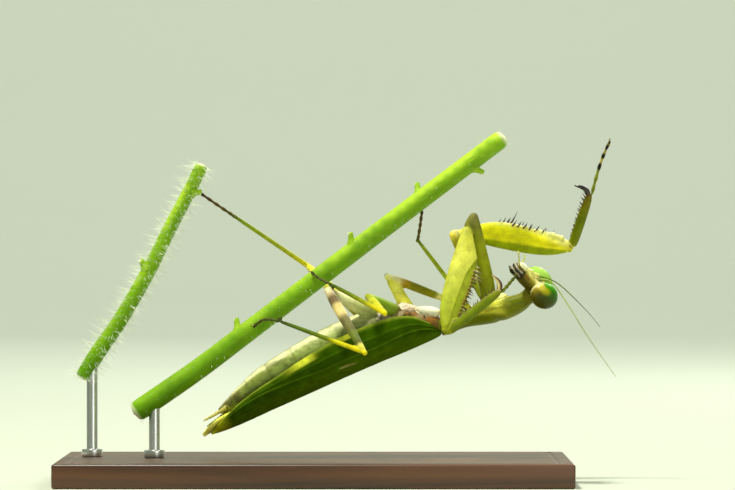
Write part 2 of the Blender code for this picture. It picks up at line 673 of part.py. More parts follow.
def stand_rod(name, foot_x, foot_y, top, held):
    """A plain rod from the base up to the stem that it holds."""
    low, high = BASE_SIZE[2] + GAP, top
    mesh = bmesh.new()
    bmesh.ops.create_cone(
        mesh, cap_ends=True, segments=12, radius1=ROD_RADIUS * MM, radius2=ROD_RADIUS * MM,
        depth=(high - low) * MM, matrix=Matrix.Translation(Vector((foot_x, foot_y, (low + high) / 2)) * MM),
    )
    rod = node(name, mesh, STEEL)
    clear_of(rod, held)


stand_base()
stand_rod("stand_rod_stem", -26.5, 0.0, 13.4, perch)
stand_rod("stand_rod_branch", -37.0, 4.0, 19.6, branch)
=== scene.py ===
"""A praying mantis at life size, hanging back downwards under a cut plant stem, on a plain display stand.

Pieces are shaped in millimetres, and finished() brings each one to metres, in the frame's own place.
+X runs from the tail to the head, +Y from the left side to the right, +Z up.
"""

import math
import random

import bmesh
import bpy
import numpy as np
from mathutils import Matrix, Vector, noise
from mathutils.bvhtree import BVHTree


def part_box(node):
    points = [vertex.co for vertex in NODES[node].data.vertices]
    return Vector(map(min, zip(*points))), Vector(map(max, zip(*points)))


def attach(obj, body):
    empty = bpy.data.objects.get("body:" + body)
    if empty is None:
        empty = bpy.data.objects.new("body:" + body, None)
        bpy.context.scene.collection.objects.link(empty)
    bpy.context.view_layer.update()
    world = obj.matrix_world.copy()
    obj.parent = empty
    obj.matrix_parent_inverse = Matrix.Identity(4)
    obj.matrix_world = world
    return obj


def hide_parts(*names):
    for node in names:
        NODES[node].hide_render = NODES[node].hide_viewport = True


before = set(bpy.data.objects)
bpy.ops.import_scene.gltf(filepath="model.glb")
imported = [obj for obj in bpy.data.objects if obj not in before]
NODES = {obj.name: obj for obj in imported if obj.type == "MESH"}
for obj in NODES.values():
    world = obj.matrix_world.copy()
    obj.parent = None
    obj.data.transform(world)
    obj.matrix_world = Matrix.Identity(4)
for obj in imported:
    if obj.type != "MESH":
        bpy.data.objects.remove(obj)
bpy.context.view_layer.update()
bpy.ops.object.select_all(action="DESELECT")


# ---------------------------------------------------------------- studio
# A round pale sweep: a floor that curves up into a low wall on every side. Soft lamps hang above it,
# the strongest high on the left, as sunlight falls on a garden plant.

FLOOR_REACH = 1.3
WALL_RISE = 0.7
SWEEP_STEPS = 8
CAMERA_PLACE = (0.0086625, -0.8, 0.039105)
CAMERA_LENS = 237.48
DEEPENING = 0.35  # the share of a colour's grey that is taken out


def only(piece):
    bpy.ops.object.select_all(action="DESELECT")
    piece.select_set(True)
    bpy.context.view_layer.objects.active = piece


def shaped(piece, kind, **settings):
    """Gives a piece one modifier with its settings, and applies it."""
    step = piece.modifiers.new(kind.lower(), kind)
    for name, value in settings.items():
        setattr(step, name, value)
    only(piece)
    bpy.ops.object.modifier_apply(modifier=step.name)


def colour(code):
    """A six-digit display colour as linear red, green and blue, a little deepened, as soft light pales it."""
    parts = [int(code[i:i + 2], 16) / 255 for i in (0, 2, 4)]
    linear = np.array([c / 12.92 if c <= 0.04045 else ((c + 0.055) / 1.055) ** 2.4 for c in parts])
    strongest, weakest = linear.max(), linear.min()
    grey = weakest * DEEPENING * (1 - weakest / strongest)
    return (linear - grey) * strongest / (strongest - grey)


def wire(node, sockets):
    """Fills a node's inputs, each with a value, a colour's six digits or another node's output."""
    for name, value in sockets.items():
        if isinstance(value, bpy.types.NodeSocket):
            node.id_data.links.new(value, node.inputs[name])
        else:
            node.inputs[name].default_value = (*colour(value), 1) if isinstance(value, str) else value


def new_finish(name, roughness, sockets={}):
    """A new material: (material, its node tree, its Principled shader)."""
    made = bpy.data.materials.new(name)
    made.use_nodes = True
    shader = made.node_tree.nodes["Principled BSDF"]
    wire(shader, {"Roughness": roughness, **sockets})
    return made, made.node_tree, shader


bpy.ops.mesh.primitive_circle_add(vertices=96, radius=FLOOR_REACH, fill_type="NGON")
sweep = bpy.context.object
sweep.name = "studio_sweep"
bpy.ops.object.mode_set(mode="EDIT")
height, reach = 0.0, FLOOR_REACH
for step in range(SWEEP_STEPS):
    turn = math.radians(90 * (step + 1) / SWEEP_STEPS)
    new_height, new_reach = WALL_RISE * (1 - math.cos(turn)), FLOOR_REACH + WALL_RISE * math.sin(turn)
    bpy.ops.mesh.extrude_region_move(TRANSFORM_OT_translate={"value": (0, 0, new_height - height)})
    bpy.ops.transform.resize(value=(new_reach / reach, new_reach / reach, 1), center_override=(0, 0, 0))
    height, reach = new_height, new_reach
bpy.ops.mesh.delete(type="ONLY_FACE")
bpy.ops.object.mode_set(mode="OBJECT")
sweep.data.shade_smooth()

sweep_paint, _, _ = new_finish("studio_paper", 0.85, {"Base Color": (0.56, 0.60, 0.50, 1)})
sweep.data.materials.append(sweep_paint)

world = bpy.context.scene.world or bpy.data.worlds.new("studio")
bpy.context.scene.world = world
world.use_nodes = True
wire(world.node_tree.nodes["Background"], {"Color": (0.92, 1.0, 0.84, 1), "Strength": 0.4})


def lamp(name, place, target, size, power, tint):
    bpy.ops.object.light_add(type="AREA", location=place)
    made = bpy.context.object
    made.name = name
    made.data.shape = "DISK"
    made.data.size = size
    made.data.energy = power
    made.data.color = tint
    made.rotation_euler = (Vector(target) - Vector(place)).to_track_quat("-Z", "Y").to_euler()


lamp("sun_lamp", (-0.18, -0.16, 0.75), (0.0, 0, 0.03), 0.12, 7.0, (1.0, 0.98, 0.86))
lamp("fill_lamp", (0.45, -0.75, 0.30), (0.0, 0, 0.03), 0.5, 1.4, (0.96, 1.0, 0.94))
lamp("wall_lamp", (0.0, 0.75, 1.1), (0.0, 2.0, 0.3), 0.8, 12.0, (0.98, 1.0, 0.95))
lamp("rear_lamp", (0.35, 0.55, 0.50), (0.0, 0, 0.04), 0.3, 2.6, (1.0, 1.0, 0.9))

bpy.ops.object.camera_add(location=CAMERA_PLACE, rotation=(math.radians(90), 0, 0))
camera = bpy.context.object
camera.data.lens = CAMERA_LENS
camera.data.sensor_width = 36
camera.data.clip_start = 0.01
bpy.context.scene.camera = camera
bpy.context.scene.view_settings.view_transform = "Standard"


# ---------------------------------------------------------------- display stand
# A dark hardwood slab with eased edges, and brushed steel rods that rise into the cut stems. Each rod
# stands in a turned steel collar let into the wood.

MM = 0.001
UPWARD = 0.9  # a face whose normal's height passes this is a top


def box_mm(node):
    low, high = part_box(node)
    return low / MM, high / MM


def finished(piece, finish, nodes=(), smooth=35):
    """Brings a piece to metres, shades it, and sets it in the frame for its nodes."""
    piece.data.transform(Matrix.Scale(MM, 4))
    piece.data.materials.clear()
    piece.data.materials.append(finish)
    only(piece)
    bpy.ops.object.shade_smooth_by_angle(angle=math.radians(smooth))
    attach(piece, "root")
    if nodes:
        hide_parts(*nodes)
    return piece


def pick_tops(piece):
    """Goes into edit mode with only a piece's top faces selected."""
    only(piece)
    bpy.ops.object.mode_set(mode="EDIT")
    bpy.ops.mesh.select_mode(type="FACE")
    bpy.ops.mesh.select_all(action="DESELECT")
    bpy.ops.object.mode_set(mode="OBJECT")
    for face in piece.data.polygons:
        face.select = face.normal.z > UPWARD
    bpy.ops.object.mode_set(mode="EDIT")


def at_origin(piece):
    """Moves a new primitive's place into its mesh."""
    only(piece)
    bpy.ops.object.transform_apply(location=True, rotation=True, scale=True)
    return piece


def eased(piece, width, segments, angle):
    """Bevels a piece's edges that are sharper than an angle."""
    limit = math.radians(angle)
    shaped(piece, "BEVEL", width=width, segments=segments, limit_method="ANGLE", angle_limit=limit)


def add_node(tree, kind, sockets={}, **settings):
    """Adds a shader node with its settings, then fills its inputs."""
    made = tree.nodes.new("ShaderNode" + kind)
    for name, value in settings.items():
        setattr(made, name, value)
    wire(made, sockets)
    return made


def own_place(tree, scale=None):
    """The piece's own place, stretched if there is a scale."""
    place = add_node(tree, "TexCoord").outputs["Object"]
    return add_node(tree, "Mapping", {"Vector": place, "Scale": scale}).outputs["Vector"] if scale else place


def clouds(tree, place, scale, **more):
    return add_node(tree, "TexNoise", {"Vector": place, "Scale": scale, **more}).outputs["Fac"]


def tone_ramp(tree, share, *stops):
    """Tones along a share from 0 to 1, from (place, colour) pairs."""
    ramp = add_node(tree, "ValToRGB", {"Fac": share})
    marks = ramp.color_ramp.elements
    for mark, (place, code) in zip(marks, (stops[0], stops[-1])):
        mark.position, mark.color = place, (*colour(code), 1)
    for place, code in stops[1:-1]:
        marks.new(place).color = (*colour(code), 1)
    return ramp.outputs["Color"]


def spread(tree, value, seen, given):
    """A value carried from the range where it is seen to the range that is given."""
    limits = {"From Min": seen[0], "From Max": seen[1], "To Min": given[0], "To Max": given[1]}
    return add_node(tree, "MapRange", {"Value": value, **limits}).outputs["Result"]


def dents(tree, height, strength, distance):
    sockets = {"Height": height, "Strength": strength, "Distance": distance}
    return add_node(tree, "Bump", sockets).outputs["Normal"]


wood, tree, shader = new_finish("stained_hardwood", 0.42, {"Coat Weight": 0.25, "Coat Roughness": 0.3})
grain = clouds(tree, own_place(tree, (14, 260, 260)), 1.0, Detail=6, Distortion=0.6)
wire(shader, {"Base Color": tone_ramp(tree, grain, (0.32, "2e1a0f"), (0.68, "6b4327")),
              "Normal": dents(tree, grain, 0.25, 0.0001)})

low, high = box_mm("stand_base")
bpy.ops.mesh.primitive_cube_add(size=1, location=(low + high) / 2, scale=high - low)
base = at_origin(bpy.context.object)
base.name = "display_base"
pick_tops(base)
for thickness, depth in ((2.2, 0), (0.35, -0.35), (0.35, 0.35)):
    bpy.ops.mesh.inset(thickness=thickness, depth=depth)
bpy.ops.object.mode_set(mode="OBJECT")
eased(base, 0.45, 3, 60)
finished(base, wood, ["stand_base"])

steel_grey = {"Base Color": (0.62, 0.62, 0.60, 1), "Metallic": 1.0}
steel, tree, shader = new_finish("brushed_steel", 0.32, steel_grey)
brushing = clouds(tree, own_place(tree, (9000, 9000, 300)), 1.0)
wire(shader, {"Roughness": spread(tree, brushing, (0, 1), (0.22, 0.42))})

COLLAR_HEIGHT, COLLAR_GIRTH = 1.2, 1.9
ROD_PAST = 0.9  # how far a rod goes on inside its stem
for node in ("stand_rod_stem", "stand_rod_branch"):
    low, high = box_mm(node)
    middle, radius = (low + high) / 2, (high.x - low.x) / 2
    bpy.ops.mesh.primitive_cylinder_add(
        vertices=40, radius=radius * COLLAR_GIRTH, depth=COLLAR_HEIGHT,
        location=(middle.x, middle.y, low.z + COLLAR_HEIGHT / 2),
    )
    collar = at_origin(bpy.context.object)
    pick_tops(collar)
    bpy.ops.mesh.inset(thickness=radius * (COLLAR_GIRTH - 1), depth=0)
    rise = high.z + ROD_PAST - low.z - COLLAR_HEIGHT
    bpy.ops.mesh.extrude_region_move(TRANSFORM_OT_translate={"value": (0, 0, rise)})
    bpy.ops.object.mode_set(mode="OBJECT")
    eased(collar, 0.12, 2, 50)
    collar.name = node.replace("stand_rod", "steel_rod")
    finished(collar, steel, [node])


# ---------------------------------------------------------------- perch
# Fresh green stems, cut square. Each is slightly ribbed along its length, swells at the places where
# leaves were cut away, and is set all over with fine pale hairs. A lighter band down each stem's lit
# side is painted highlight.

STEM_RINGS = 40
RIB_HEIGHT, RIB_COUNT = 0.05, 6


def between(start, end):
    """The straight line between two places as (start, direction, length)."""
    return start, (end - start).normalized(), (end - start).length


def read_vectors(items, field):
    found = np.zeros(len(items) * 3, np.float32)
    items.foreach_get(field, found)
    return found.reshape(-1, 3).astype(float)


def mesh_points(piece):
    return read_vectors(piece.data.vertices, "co")


def mesh_normals(piece):
    return read_vectors(piece.data.vertex_normals, "vector")


def set_points(piece, found):
    piece.data.vertices.foreach_set("co", found.ravel())
    piece.data.update()


def points_of(node):
    """A node's points in millimetres."""
    return mesh_points(NODES[node]) / MM


def long_axis(node, near):
    """A node's long axis as (start, direction, length), from the end nearest a point."""
    found = points_of(node)
    middle = found.mean(0)
    direction = np.linalg.svd(found - middle, full_matrices=False)[2][0]
    along = (found - middle) @ direction
    start, end = middle + direction * along.min(), middle + direction * along.max()
    if np.linalg.norm(end - near) < np.linalg.norm(start - near):
        start, end, direction = end, start, -direction
    return start, direction, float(np.ptp(along))


def middle_line(node, near, count, blur=0.06):
    """Places along the middle of a long node, and its girth at each as a radius."""
    found = points_of(node)
    start, direction, length = long_axis(node, near)
    along = (found - start) @ direction / length
    steps = np.linspace(0, 1, count)[:, None]
    weight = np.exp(-(((along - steps) / blur) ** 2))
    weight /= weight.sum(1, keepdims=True)
    line = weight @ found
    line += ((start + direction * (steps * length) - line) @ direction)[:, None] * direction
    away = found - line[:, None]
    away -= (away @ direction)[..., None] * direction
    return [Vector(place) for place in line], (weight * np.linalg.norm(away, axis=2)).sum(1)


def edited(piece, *steps):
    """Takes (operator, settings) steps in edit mode, each on all of a piece."""
    only(piece)
    bpy.ops.object.mode_set(mode="EDIT")
    for step, settings in steps:
        bpy.ops.mesh.select_all(action="SELECT")
        step(**settings)
    bpy.ops.object.mode_set(mode="OBJECT")


def loft(name, path, sizes, depth_axis, sides=16):
    """A closed limb: a ring at each place, square to the path, each bridged to the next.

    sizes holds one radius, or (half width, half depth), for each ring.
    """
    last = len(path) - 1
    for i, (centre, size) in enumerate(zip(path, sizes)):
        half_width, half_depth = np.broadcast_to(size, 2)
        z = (path[min(i + 1, last)] - path[max(i - 1, 0)]).normalized()
        y = (depth_axis - z * depth_axis.dot(z)).normalized()
        axes = Matrix((y.cross(z), y, z)).transposed()
        bpy.ops.mesh.primitive_circle_add(vertices=sides, radius=1, location=centre, rotation=axes.to_euler())
        if i == 0:
            made = at_origin(bpy.context.object)
            made.name = name
            bpy.ops.object.mode_set(mode="EDIT")
        bpy.ops.transform.resize(
            value=(half_width, half_depth, 1), center_override=centre, orient_type="GLOBAL",
            orient_matrix=axes, orient_matrix_type="GLOBAL",
        )
    bpy.ops.object.mode_set(mode="OBJECT")
    edited(
        made,
        (bpy.ops.mesh.bridge_edge_loops, {"type": "SINGLE"}),
        (bpy.ops.mesh.fill_holes, {"sides": 0}),
        (bpy.ops.mesh.normals_make_consistent, {"inside": False}),
    )
    return made


def rounded(piece, levels):
    shaped(piece, "SUBSURF", levels=levels, render_levels=levels)


def join(pieces, name):
    """Makes several pieces one, with the first one's place in the scene."""
    bpy.ops.object.select_all(action="DESELECT")
    for piece in pieces:
        piece.select_set(True)
    bpy.context.view_layer.objects.active = pieces[0]
    bpy.ops.object.join()
    pieces[0].name = name
    return pieces[0]


def keep_values(piece, name, values):
    """Stores one number or one colour for each of a piece's points."""
    kind, field = ("FLOAT", "value") if np.ndim(values) == 1 else ("FLOAT_COLOR", "color")
    if field == "color":
        values = np.column_stack([values, np.ones(len(values))])
    made = piece.data.attributes.new(name, kind, "POINT")
    made.data.foreach_set(field, np.asarray(values, np.float32).ravel())


def kept(tree, name, kind="Fac"):
    """A piece's own stored values, for its finish."""
    return add_node(tree, "Attribute", attribute_name=name).outputs[kind]


def mixed(tree, share, under, over, **settings):
    sockets = {"Factor": share, "A": under, "B": over}
    return add_node(tree, "Mix", sockets, data_type="RGBA", **settings).outputs["Result"]


def soft_light(specular, weight, scale, radius=(1.0, 0.2, 0.1)):
    """Shader settings that keep a surface's shine low and let a little light into it."""
    return {"Specular IOR Level": specular, "Subsurface Weight": weight, "Subsurface Scale": scale,
            "Subsurface Radius": radius}


stem_skin, tree, shader = new_finish("stem_skin", 0.5, soft_light(0.15, 0.1, 0.0005, (0.6, 1.0, 0.2)))
place = own_place(tree)
tones = tone_ramp(tree, clouds(tree, place, 180, Detail=4), (0.3, "508606"), (0.7, "74aa0a"))
# The lighter yellow-green mixed in here is a painted highlight along each stem's lit side.
highlighted = mixed(tree, kept(tree, "stripe"), tones, "bcdc40")
wire(shader, {"Base Color": mixed(tree, kept(tree, "cut"), highlighted, "e2e8bd"),
              "Normal": dents(tree, clouds(tree, place, 5200), 0.3, 0.00006)})
hair_pale = {"Base Color": (0.84, 0.90, 0.70, 1), "Specular IOR Level": 0.2}
hair_skin, _, _ = new_finish("stem_hair", 0.5, hair_pale)

HAIR_GIRTH = 0.034
HAIR_FOOT = 0.12  # how deep a hair starts in the stem
PATCH = 0.003


def hair_coat(name, line, girth, count, longest, seed):
    """Fine tapering hairs, one modelled, then set round and along a stem as one mesh."""
    bpy.ops.mesh.primitive_cone_add(vertices=3, radius1=1, radius2=0.12, depth=1, end_fill_type="NOTHING",
                                    location=(0, 0, 0.5))
    hair = at_origin(bpy.context.object)
    edited(hair, (bpy.ops.mesh.bisect, {"plane_co": (0, 0, 0.4), "plane_no": (0, 0, 1)}))
    shape = mesh_points(hair)
    corners = [list(face.vertices) for face in hair.data.polygons]
    bpy.data.objects.remove(hair)
    pick = random.Random(seed)
    vertices, faces, patches = [], [], []
    for i in range(count):
        t = pick.random()
        place = t * (len(line) - 1.001)
        low = int(place)
        centre = line[low].lerp(line[low + 1], place - low)
        radius = np.interp(place, range(len(girth)), girth)
        along = (line[low + 1] - line[low]).normalized()
        across = along.cross(Vector((0, 1, 0))).normalized()
        angle = pick.random() * math.tau
        out = across * math.cos(angle) + along.cross(across) * math.sin(angle)
        lean = Vector((pick.gauss(0, 0.16), pick.gauss(0, 0.16), pick.gauss(0, 0.16) - 0.1))
        direction = (out + lean).normalized()
        length = longest * (0.35 + 0.65 * pick.random() ** 2)
        side = direction.cross(along).normalized()
        other = side.cross(direction)
        bend = along * length * pick.gauss(0.0, 0.12)
        first = len(vertices)
        for x, y, z in shape:
            vertices.append(centre + out * (radius - HAIR_FOOT) + (side * x + other * y) * HAIR_GIRTH
                            + direction * z * length + bend * z * z)
        for face in corners:
            faces.append([first + corner for corner in face])
            left, low_edge = t * 0.98 + 0.01, angle / math.tau * 0.98
            patches += [(left + PATCH * shape[c][2], low_edge + PATCH * shape[c][0] / 2) for c in face]
    data = bpy.data.meshes.new(name)
    data.from_pydata(vertices, [], faces)
    data.uv_layers.new(name="OFBake")
    data.uv_layers["OFBake"].data.foreach_set("uv", [n for patch in patches for n in patch])
    made = bpy.data.objects.new(name, data)
    bpy.context.scene.collection.objects.link(made)
    return finished(made, hair_skin, smooth=80)


# The middle line of each stem from its lower cut to its upper cut, and its radius at the two ends.
MAIN_LINE = ((-30, 0, 11.2), (-19.7, 0, 18.3), (-10.3, 0, 25.4), (4.4, 0, 36.6), (14.1, 0, 44.0),
             (27.3, 0, 54.0), (31.4, 0, 57.1))
SECOND_LINE = ((-38.7, 4, 16.8), (-36.3, 4, 20.9), (-32.2, 4, 26.9), (-27.7, 4, 34.7), (-24.3, 4, 41.5),
               (-20.8, 4, 48.2), (-18.7, 4, 52.6))


PATH_STEPS = 30


def smooth_path(corners, count):
    """Evenly spaced places along a smooth curve through the corners."""
    ends = [corners[0] * 2 - corners[1], *corners, corners[-1] * 2 - corners[-2]]
    fine = []
    for a, b, c, d in zip(ends, ends[1:], ends[2:], ends[3:]):
        for k in range(PATH_STEPS):
            x = k / PATH_STEPS
            fine.append(0.5 * ((2 * b) + (c - a) * x + (2 * a - 5 * b + 4 * c - d) * x**2
                               + (3 * b - a - 3 * c + d) * x**3))
    fine.append(corners[-1])
    gone = [0.0]
    for before, after in zip(fine, fine[1:]):
        gone.append(gone[-1] + (after - before).length)
    path, k = [], 0
    for i in range(count):
        wanted = gone[-1] * i / (count - 1)
        while k < len(fine) - 2 and gone[k + 1] < wanted:
            k += 1
        path.append(fine[k].lerp(fine[k + 1], (wanted - gone[k]) / (gone[k + 1] - gone[k])))
    return path


# (how far out as a share of the stem's radius, radius) of a cut leaf stalk
SCAR_ROWS = ((0.5, 1.1), (1.0, 0.8), (1.25, 0.55), (1.6, 0.48), (2.0, 0.46))


def stem(name, node, corners, radii, scars, hairs, longest):
    """scars are (place along the stem, turn round it in degrees) of the cut leaf stalks."""
    line = smooth_path([Vector(c) for c in corners], STEM_RINGS)
    girth = np.linspace(*radii, STEM_RINGS)
    last = STEM_RINGS - 1
    body = loft(name, line, girth, Vector((0, 1, 0)), sides=20)
    rounded(body, 1)
    eased(body, 0.12, 2, 50)
    parts = [body]
    for share, turn in scars:
        i = round(share * last)
        along = (line[min(i + 1, last)] - line[i - 1]).normalized()
        out = Matrix.Rotation(math.radians(turn), 3, along) @ Vector((-along.z, 0, along.x))
        out = (out + along * 0.5).normalized()
        places = [line[i] + out * (girth[i] * height) for height, _ in SCAR_ROWS]
        stub = loft("leaf_scar", places, [radius for _, radius in SCAR_ROWS], along, sides=14)
        eased(stub, 0.06, 2, 60)
        parts.append(stub)
    for part in parts:
        found, normals = mesh_points(part), mesh_normals(part)
        nearest = np.linalg.norm(found[:, None] - np.array(line), axis=2).argmin(1)
        outward = found - np.array(line)[nearest]
        turn = np.arctan2(outward[:, 1], outward[:, 2])
        if part is body:
            inner = (nearest > 0) & (nearest < last)
            set_points(part, found + normals * (inner * RIB_HEIGHT * np.cos(RIB_COUNT * turn))[:, None])
            keep_values(part, "cut", 1.0 * ~inner)
            # Painted highlight: a lighter band down the stem's side that faces the light, stronger towards
            # the upper end, so the lower end stays darker as painted shade.
            sunlit, lit_side = nearest / last, np.clip(np.cos(turn + 0.5), 0, 1) ** 3
            keep_values(part, "stripe", (0.15 + 0.65 * sunlit) * lit_side + 0.22 * sunlit)
        else:
            away = np.linalg.norm(outward, axis=1)
            keep_values(part, "cut", 1.0 * (away > away.max() - 0.15))
            # The leaf scars take half of the painted highlight all over.
            keep_values(part, "stripe", np.full(len(found), 0.5))
    join(parts, name)
    finished(body, stem_skin, [node], smooth=40)
    hair_coat(name + "_hairs", line, girth, hairs, longest, seed=len(name))


MAIN_SCARS = ((0.27, -8), (0.6, 12), (0.76, -20), (0.9, 190))
stem("main_stem", "perch_stem", MAIN_LINE, (1.73, 1.49), MAIN_SCARS, 420, 1.0)
stem("second_stem", "perch_branch", SECOND_LINE, (1.32, 1.04), ((0.5, 20), (0.86, 175)), 1300, 3.2)


# ---------------------------------------------------------------- skin: forms of the trunk
# The living skin is one closed surface from the head to the feet. It starts from the solids of the
# trunk, rounded, and takes in the ridges, plates and knuckles that follow, before all are fused.

BODY_PITCH = math.radians(23.5)
BODY_ROLL = math.radians(17)
WING_ROOT = Vector((20.2, 0.0, 25.1))
FORWARD = Vector((math.cos(BODY_PITCH), 0, math.sin(BODY_PITCH)))
DORSAL = (
    Vector((math.sin(BODY_PITCH), 0, -math.cos(BODY_PITCH))) * math.cos(BODY_ROLL)
    + Vector((0, -math.sin(BODY_ROLL), 0))
)
LEFT = DORSAL.cross(FORWARD)
SIDES = {"left": 1, "right": -1}
SWELL = 0.10  # grown before fusing and taken back after, which fills the joints' creases

forms = []  # the skin's forms
markings = {}  # form: its colours as (place along it, colour)
axes = {}  # form: (start, direction, length) of the line its colours follow
shadows = {}  # form: (direction, strength, colour) of a darker side


def form(piece, axis, bands, shadow=None):
    """Adds a form to the skin, with its colours along an axis as "place colour, place colour"."""
    forms.append(piece)
    markings[piece.name] = [(float(at), colour(code)) for at, code in map(str.split, bands.split(","))]
    axes[piece.name] = (np.array(axis[0]), np.array(axis[1]), axis[2])
    if shadow:
        shadows[piece.name] = (np.array(shadow[0]), shadow[1], colour(shadow[2]))
    return piece


def volume_and_area(piece):
    shape = bmesh.new()
    shape.from_mesh(piece.data)
    found = shape.calc_volume(), sum(face.calc_area() for face in shape.faces)
    shape.free()
    return found


def rounded_solid(node):
    """A copy of a node's solid, merged, rounded, and filled out again to the solid's own volume."""
    data = NODES[node].data.copy()
    data.transform(Matrix.Scale(1 / MM, 4))
    data.materials.clear()
    made = bpy.data.objects.new(node + "_form", data)
    bpy.context.scene.collection.objects.link(made)
    merging = (bpy.ops.mesh.remove_doubles, {"threshold": 0.002})
    edited(made, merging, (bpy.ops.mesh.tris_convert_to_quads, {}))
    solid_volume, _ = volume_and_area(made)
    rounded(made, 2)
    volume, area = volume_and_area(made)
    edited(made, (bpy.ops.transform.shrink_fatten, {"value": (solid_volume - volume) / area}))
    return made


def bulb(name, centre, pointing, half_sizes, bands, shadow=None):
    """A rounded knuckle or plate. half_sizes are along the pointing direction, then across it twice."""
    turn = Vector(pointing).to_track_quat("X", "Z").to_euler()
    bpy.ops.mesh.primitive_uv_sphere_add(
        segments=20, ring_count=12, radius=1, location=centre, rotation=turn, scale=half_sizes
    )
    made = at_origin(bpy.context.object)
    made.name = name
    direction = Vector(pointing).normalized()
    axis = (Vector(centre) - direction * half_sizes[0], direction, 2 * half_sizes[0])
    return form(made, axis, bands, shadow)


def in_body(along, left, dorsal):
    return WING_ROOT + FORWARD * along + LEFT * left + DORSAL * dorsal


TRUNK_BANDS = {
    "abdomen": "0 989454, .12 8c984a, .4 909c50, .75 a2b068, 1 aaa878",
    "metathorax": "0 a09880, .5 8c7c6c, 1 a48c68",
    "mesothorax": "0 b08c52, .6 9c7446, 1 98843e",
}
for node, bands in TRUNK_BANDS.items():
    form(rounded_solid(node), long_axis(node, (-40, 0, 0)), bands)

# The pronotum is a shield along the back of the prothorax, with a thin flange on each side. The
# flanges' bright yellow middle stretch is painted highlight, where light catches the shield's side edges.
PRONOTUM_BACK = Vector((0.35, -0.42, -0.84)).normalized()
PRONOTUM_BANDS = "0 76840c, .5 6c7a06, 1 70780a"
form(rounded_solid("prothorax"), long_axis("prothorax", (20, 0, 25)), PRONOTUM_BANDS,
     (-PRONOTUM_BACK, 0.75, "7e7c2c"))
shield_line, shield_girth = middle_line("prothorax", (20, 0, 25), 9)
SHIELD_RIM = (0.82, 0.8, 0.86, 1.04, 1.26, 1.36, 1.2, 0.92)
for name, side in SIDES.items():
    rim = []
    for i, widening in enumerate(SHIELD_RIM):
        along = (shield_line[min(i + 1, 8)] - shield_line[max(i - 1, 0)]).normalized()
        across = PRONOTUM_BACK.cross(along).normalized() * side
        rim.append(shield_line[i] + across * shield_girth[i] * widening + PRONOTUM_BACK * 0.3)
    flange = loft(f"flange_{name}", rim, [(0.22, 0.26)] * len(rim), PRONOTUM_BACK, sides=10)
    rounded(flange, 1)
    # The flange's bright yellow middle band is painted highlight.
    form(flange, long_axis("prothorax", (20, 0, 25)),
         "0 8a9020, .3 a8a824, .5 d8d444, .7 a8a838, 1 7a8028")
bulb("throat", (30.6, -6.3, 30.1), (0.8, -0.2, 0.0), (1.5, 1.0, 1.1), "0 e4e688, .6 f2f2a0, 1 b8b84c")
bulb("mid_belly", (18.7, -1.0, 28.2), (0.97, -0.2, -0.1), (2.2, 1.1, 0.85),
     "0 e8dcb0, .3 fcfae0, .8 fcfae0, 1 e0c898")
bulb("waist", (19.4, -0.9, 26.5), (0.8, -0.1, -0.55), (2.1, 1.2, 1.25),
     "0 c8aa78, .35 a87038, .6 7c5c30, 1 5c5c18")
form(rounded_solid("neck"), long_axis("neck", (33, -7, 30)), "0 7c7a16, 1 747212")
for name, side in SIDES.items():
    form(rounded_solid(f"cercus_{name}"), long_axis(f"cercus_{name}", in_body(-36.9, side, -1.9)),
         "0 b8ae52, 1 d9d38a")


# ---------------------------------------------------------------- skin: forms of the head
# A broad three-cornered head: a ridged crown between the eyes, a low shield between the feelers, and
# the plates of the mouth below, with jointed palps beside them.

HEAD_CENTRE = Vector((36.5, -8.6, 32.2))
HEAD_LEFT = Vector((0.20, -0.895, -0.40)).normalized()
HEAD_MOUTH = Vector((-0.66, -0.45, 0.68)).normalized()
HEAD_FACE = HEAD_MOUTH.cross(HEAD_LEFT).normalized()


def in_head(left, mouth, face):
    return HEAD_CENTRE + HEAD_LEFT * left + HEAD_MOUTH * mouth + HEAD_FACE * face


form(rounded_solid("head"), (in_head(0, -2.7, 0), HEAD_MOUTH, 8.4),
     "0 5c9010, .3 7a8c14, .45 8c8c1c, .75 a08c20, 1 6b5c20")
bulb("frontal_shield", in_head(0, 1.95, 1.1), HEAD_MOUTH, (0.7, 1.1, 0.24), "0 ece684, 1 faf09a")
bulb("crown_ridge", in_head(0, -1.5, 0.8), HEAD_LEFT, (1.9, 0.32, 0.5), "0 5c9c10, 1 5c9c10")
bulb("clypeus", in_head(0, 3.25, 0.8), HEAD_MOUTH, (0.8, 0.95, 0.36), "0 fcf49a, 1 f0da74")
bulb("labrum", in_head(0, 4.65, 0.62), HEAD_MOUTH, (0.95, 0.78, 0.45), "0 fbf6c0, .4 fffee0, 1 fffee0")
bulb("lower_lip", in_head(0, 5.0, -1.2), HEAD_MOUTH, (0.95, 0.62, 0.42),
     "0 4f4a14, .35 1c130a, .55 d8d2a8, .68 d8d2a8, .78 120c06, 1 120c06")
PALPS = {
    "left": ((0.8, 4.9, -0.2), (0.85, 5.85, 0.45), (0.9, 6.9, 1.25), (0.85, 7.95, 1.9)),
    "right": ((-0.9, 4.2, -0.2), (-1.1, 4.7, 0.7), (-0.9, 5.1, 1.5), (-0.8, 5.6, 1.95), (-0.75, 6.05, 1.85)),
}
PALP_SIZES = (0.24, 0.19, 0.2, 0.15, 0.17, 0.17, 0.13, 0.16, 0.16, 0.13, 0.17, 0.2, 0.13)
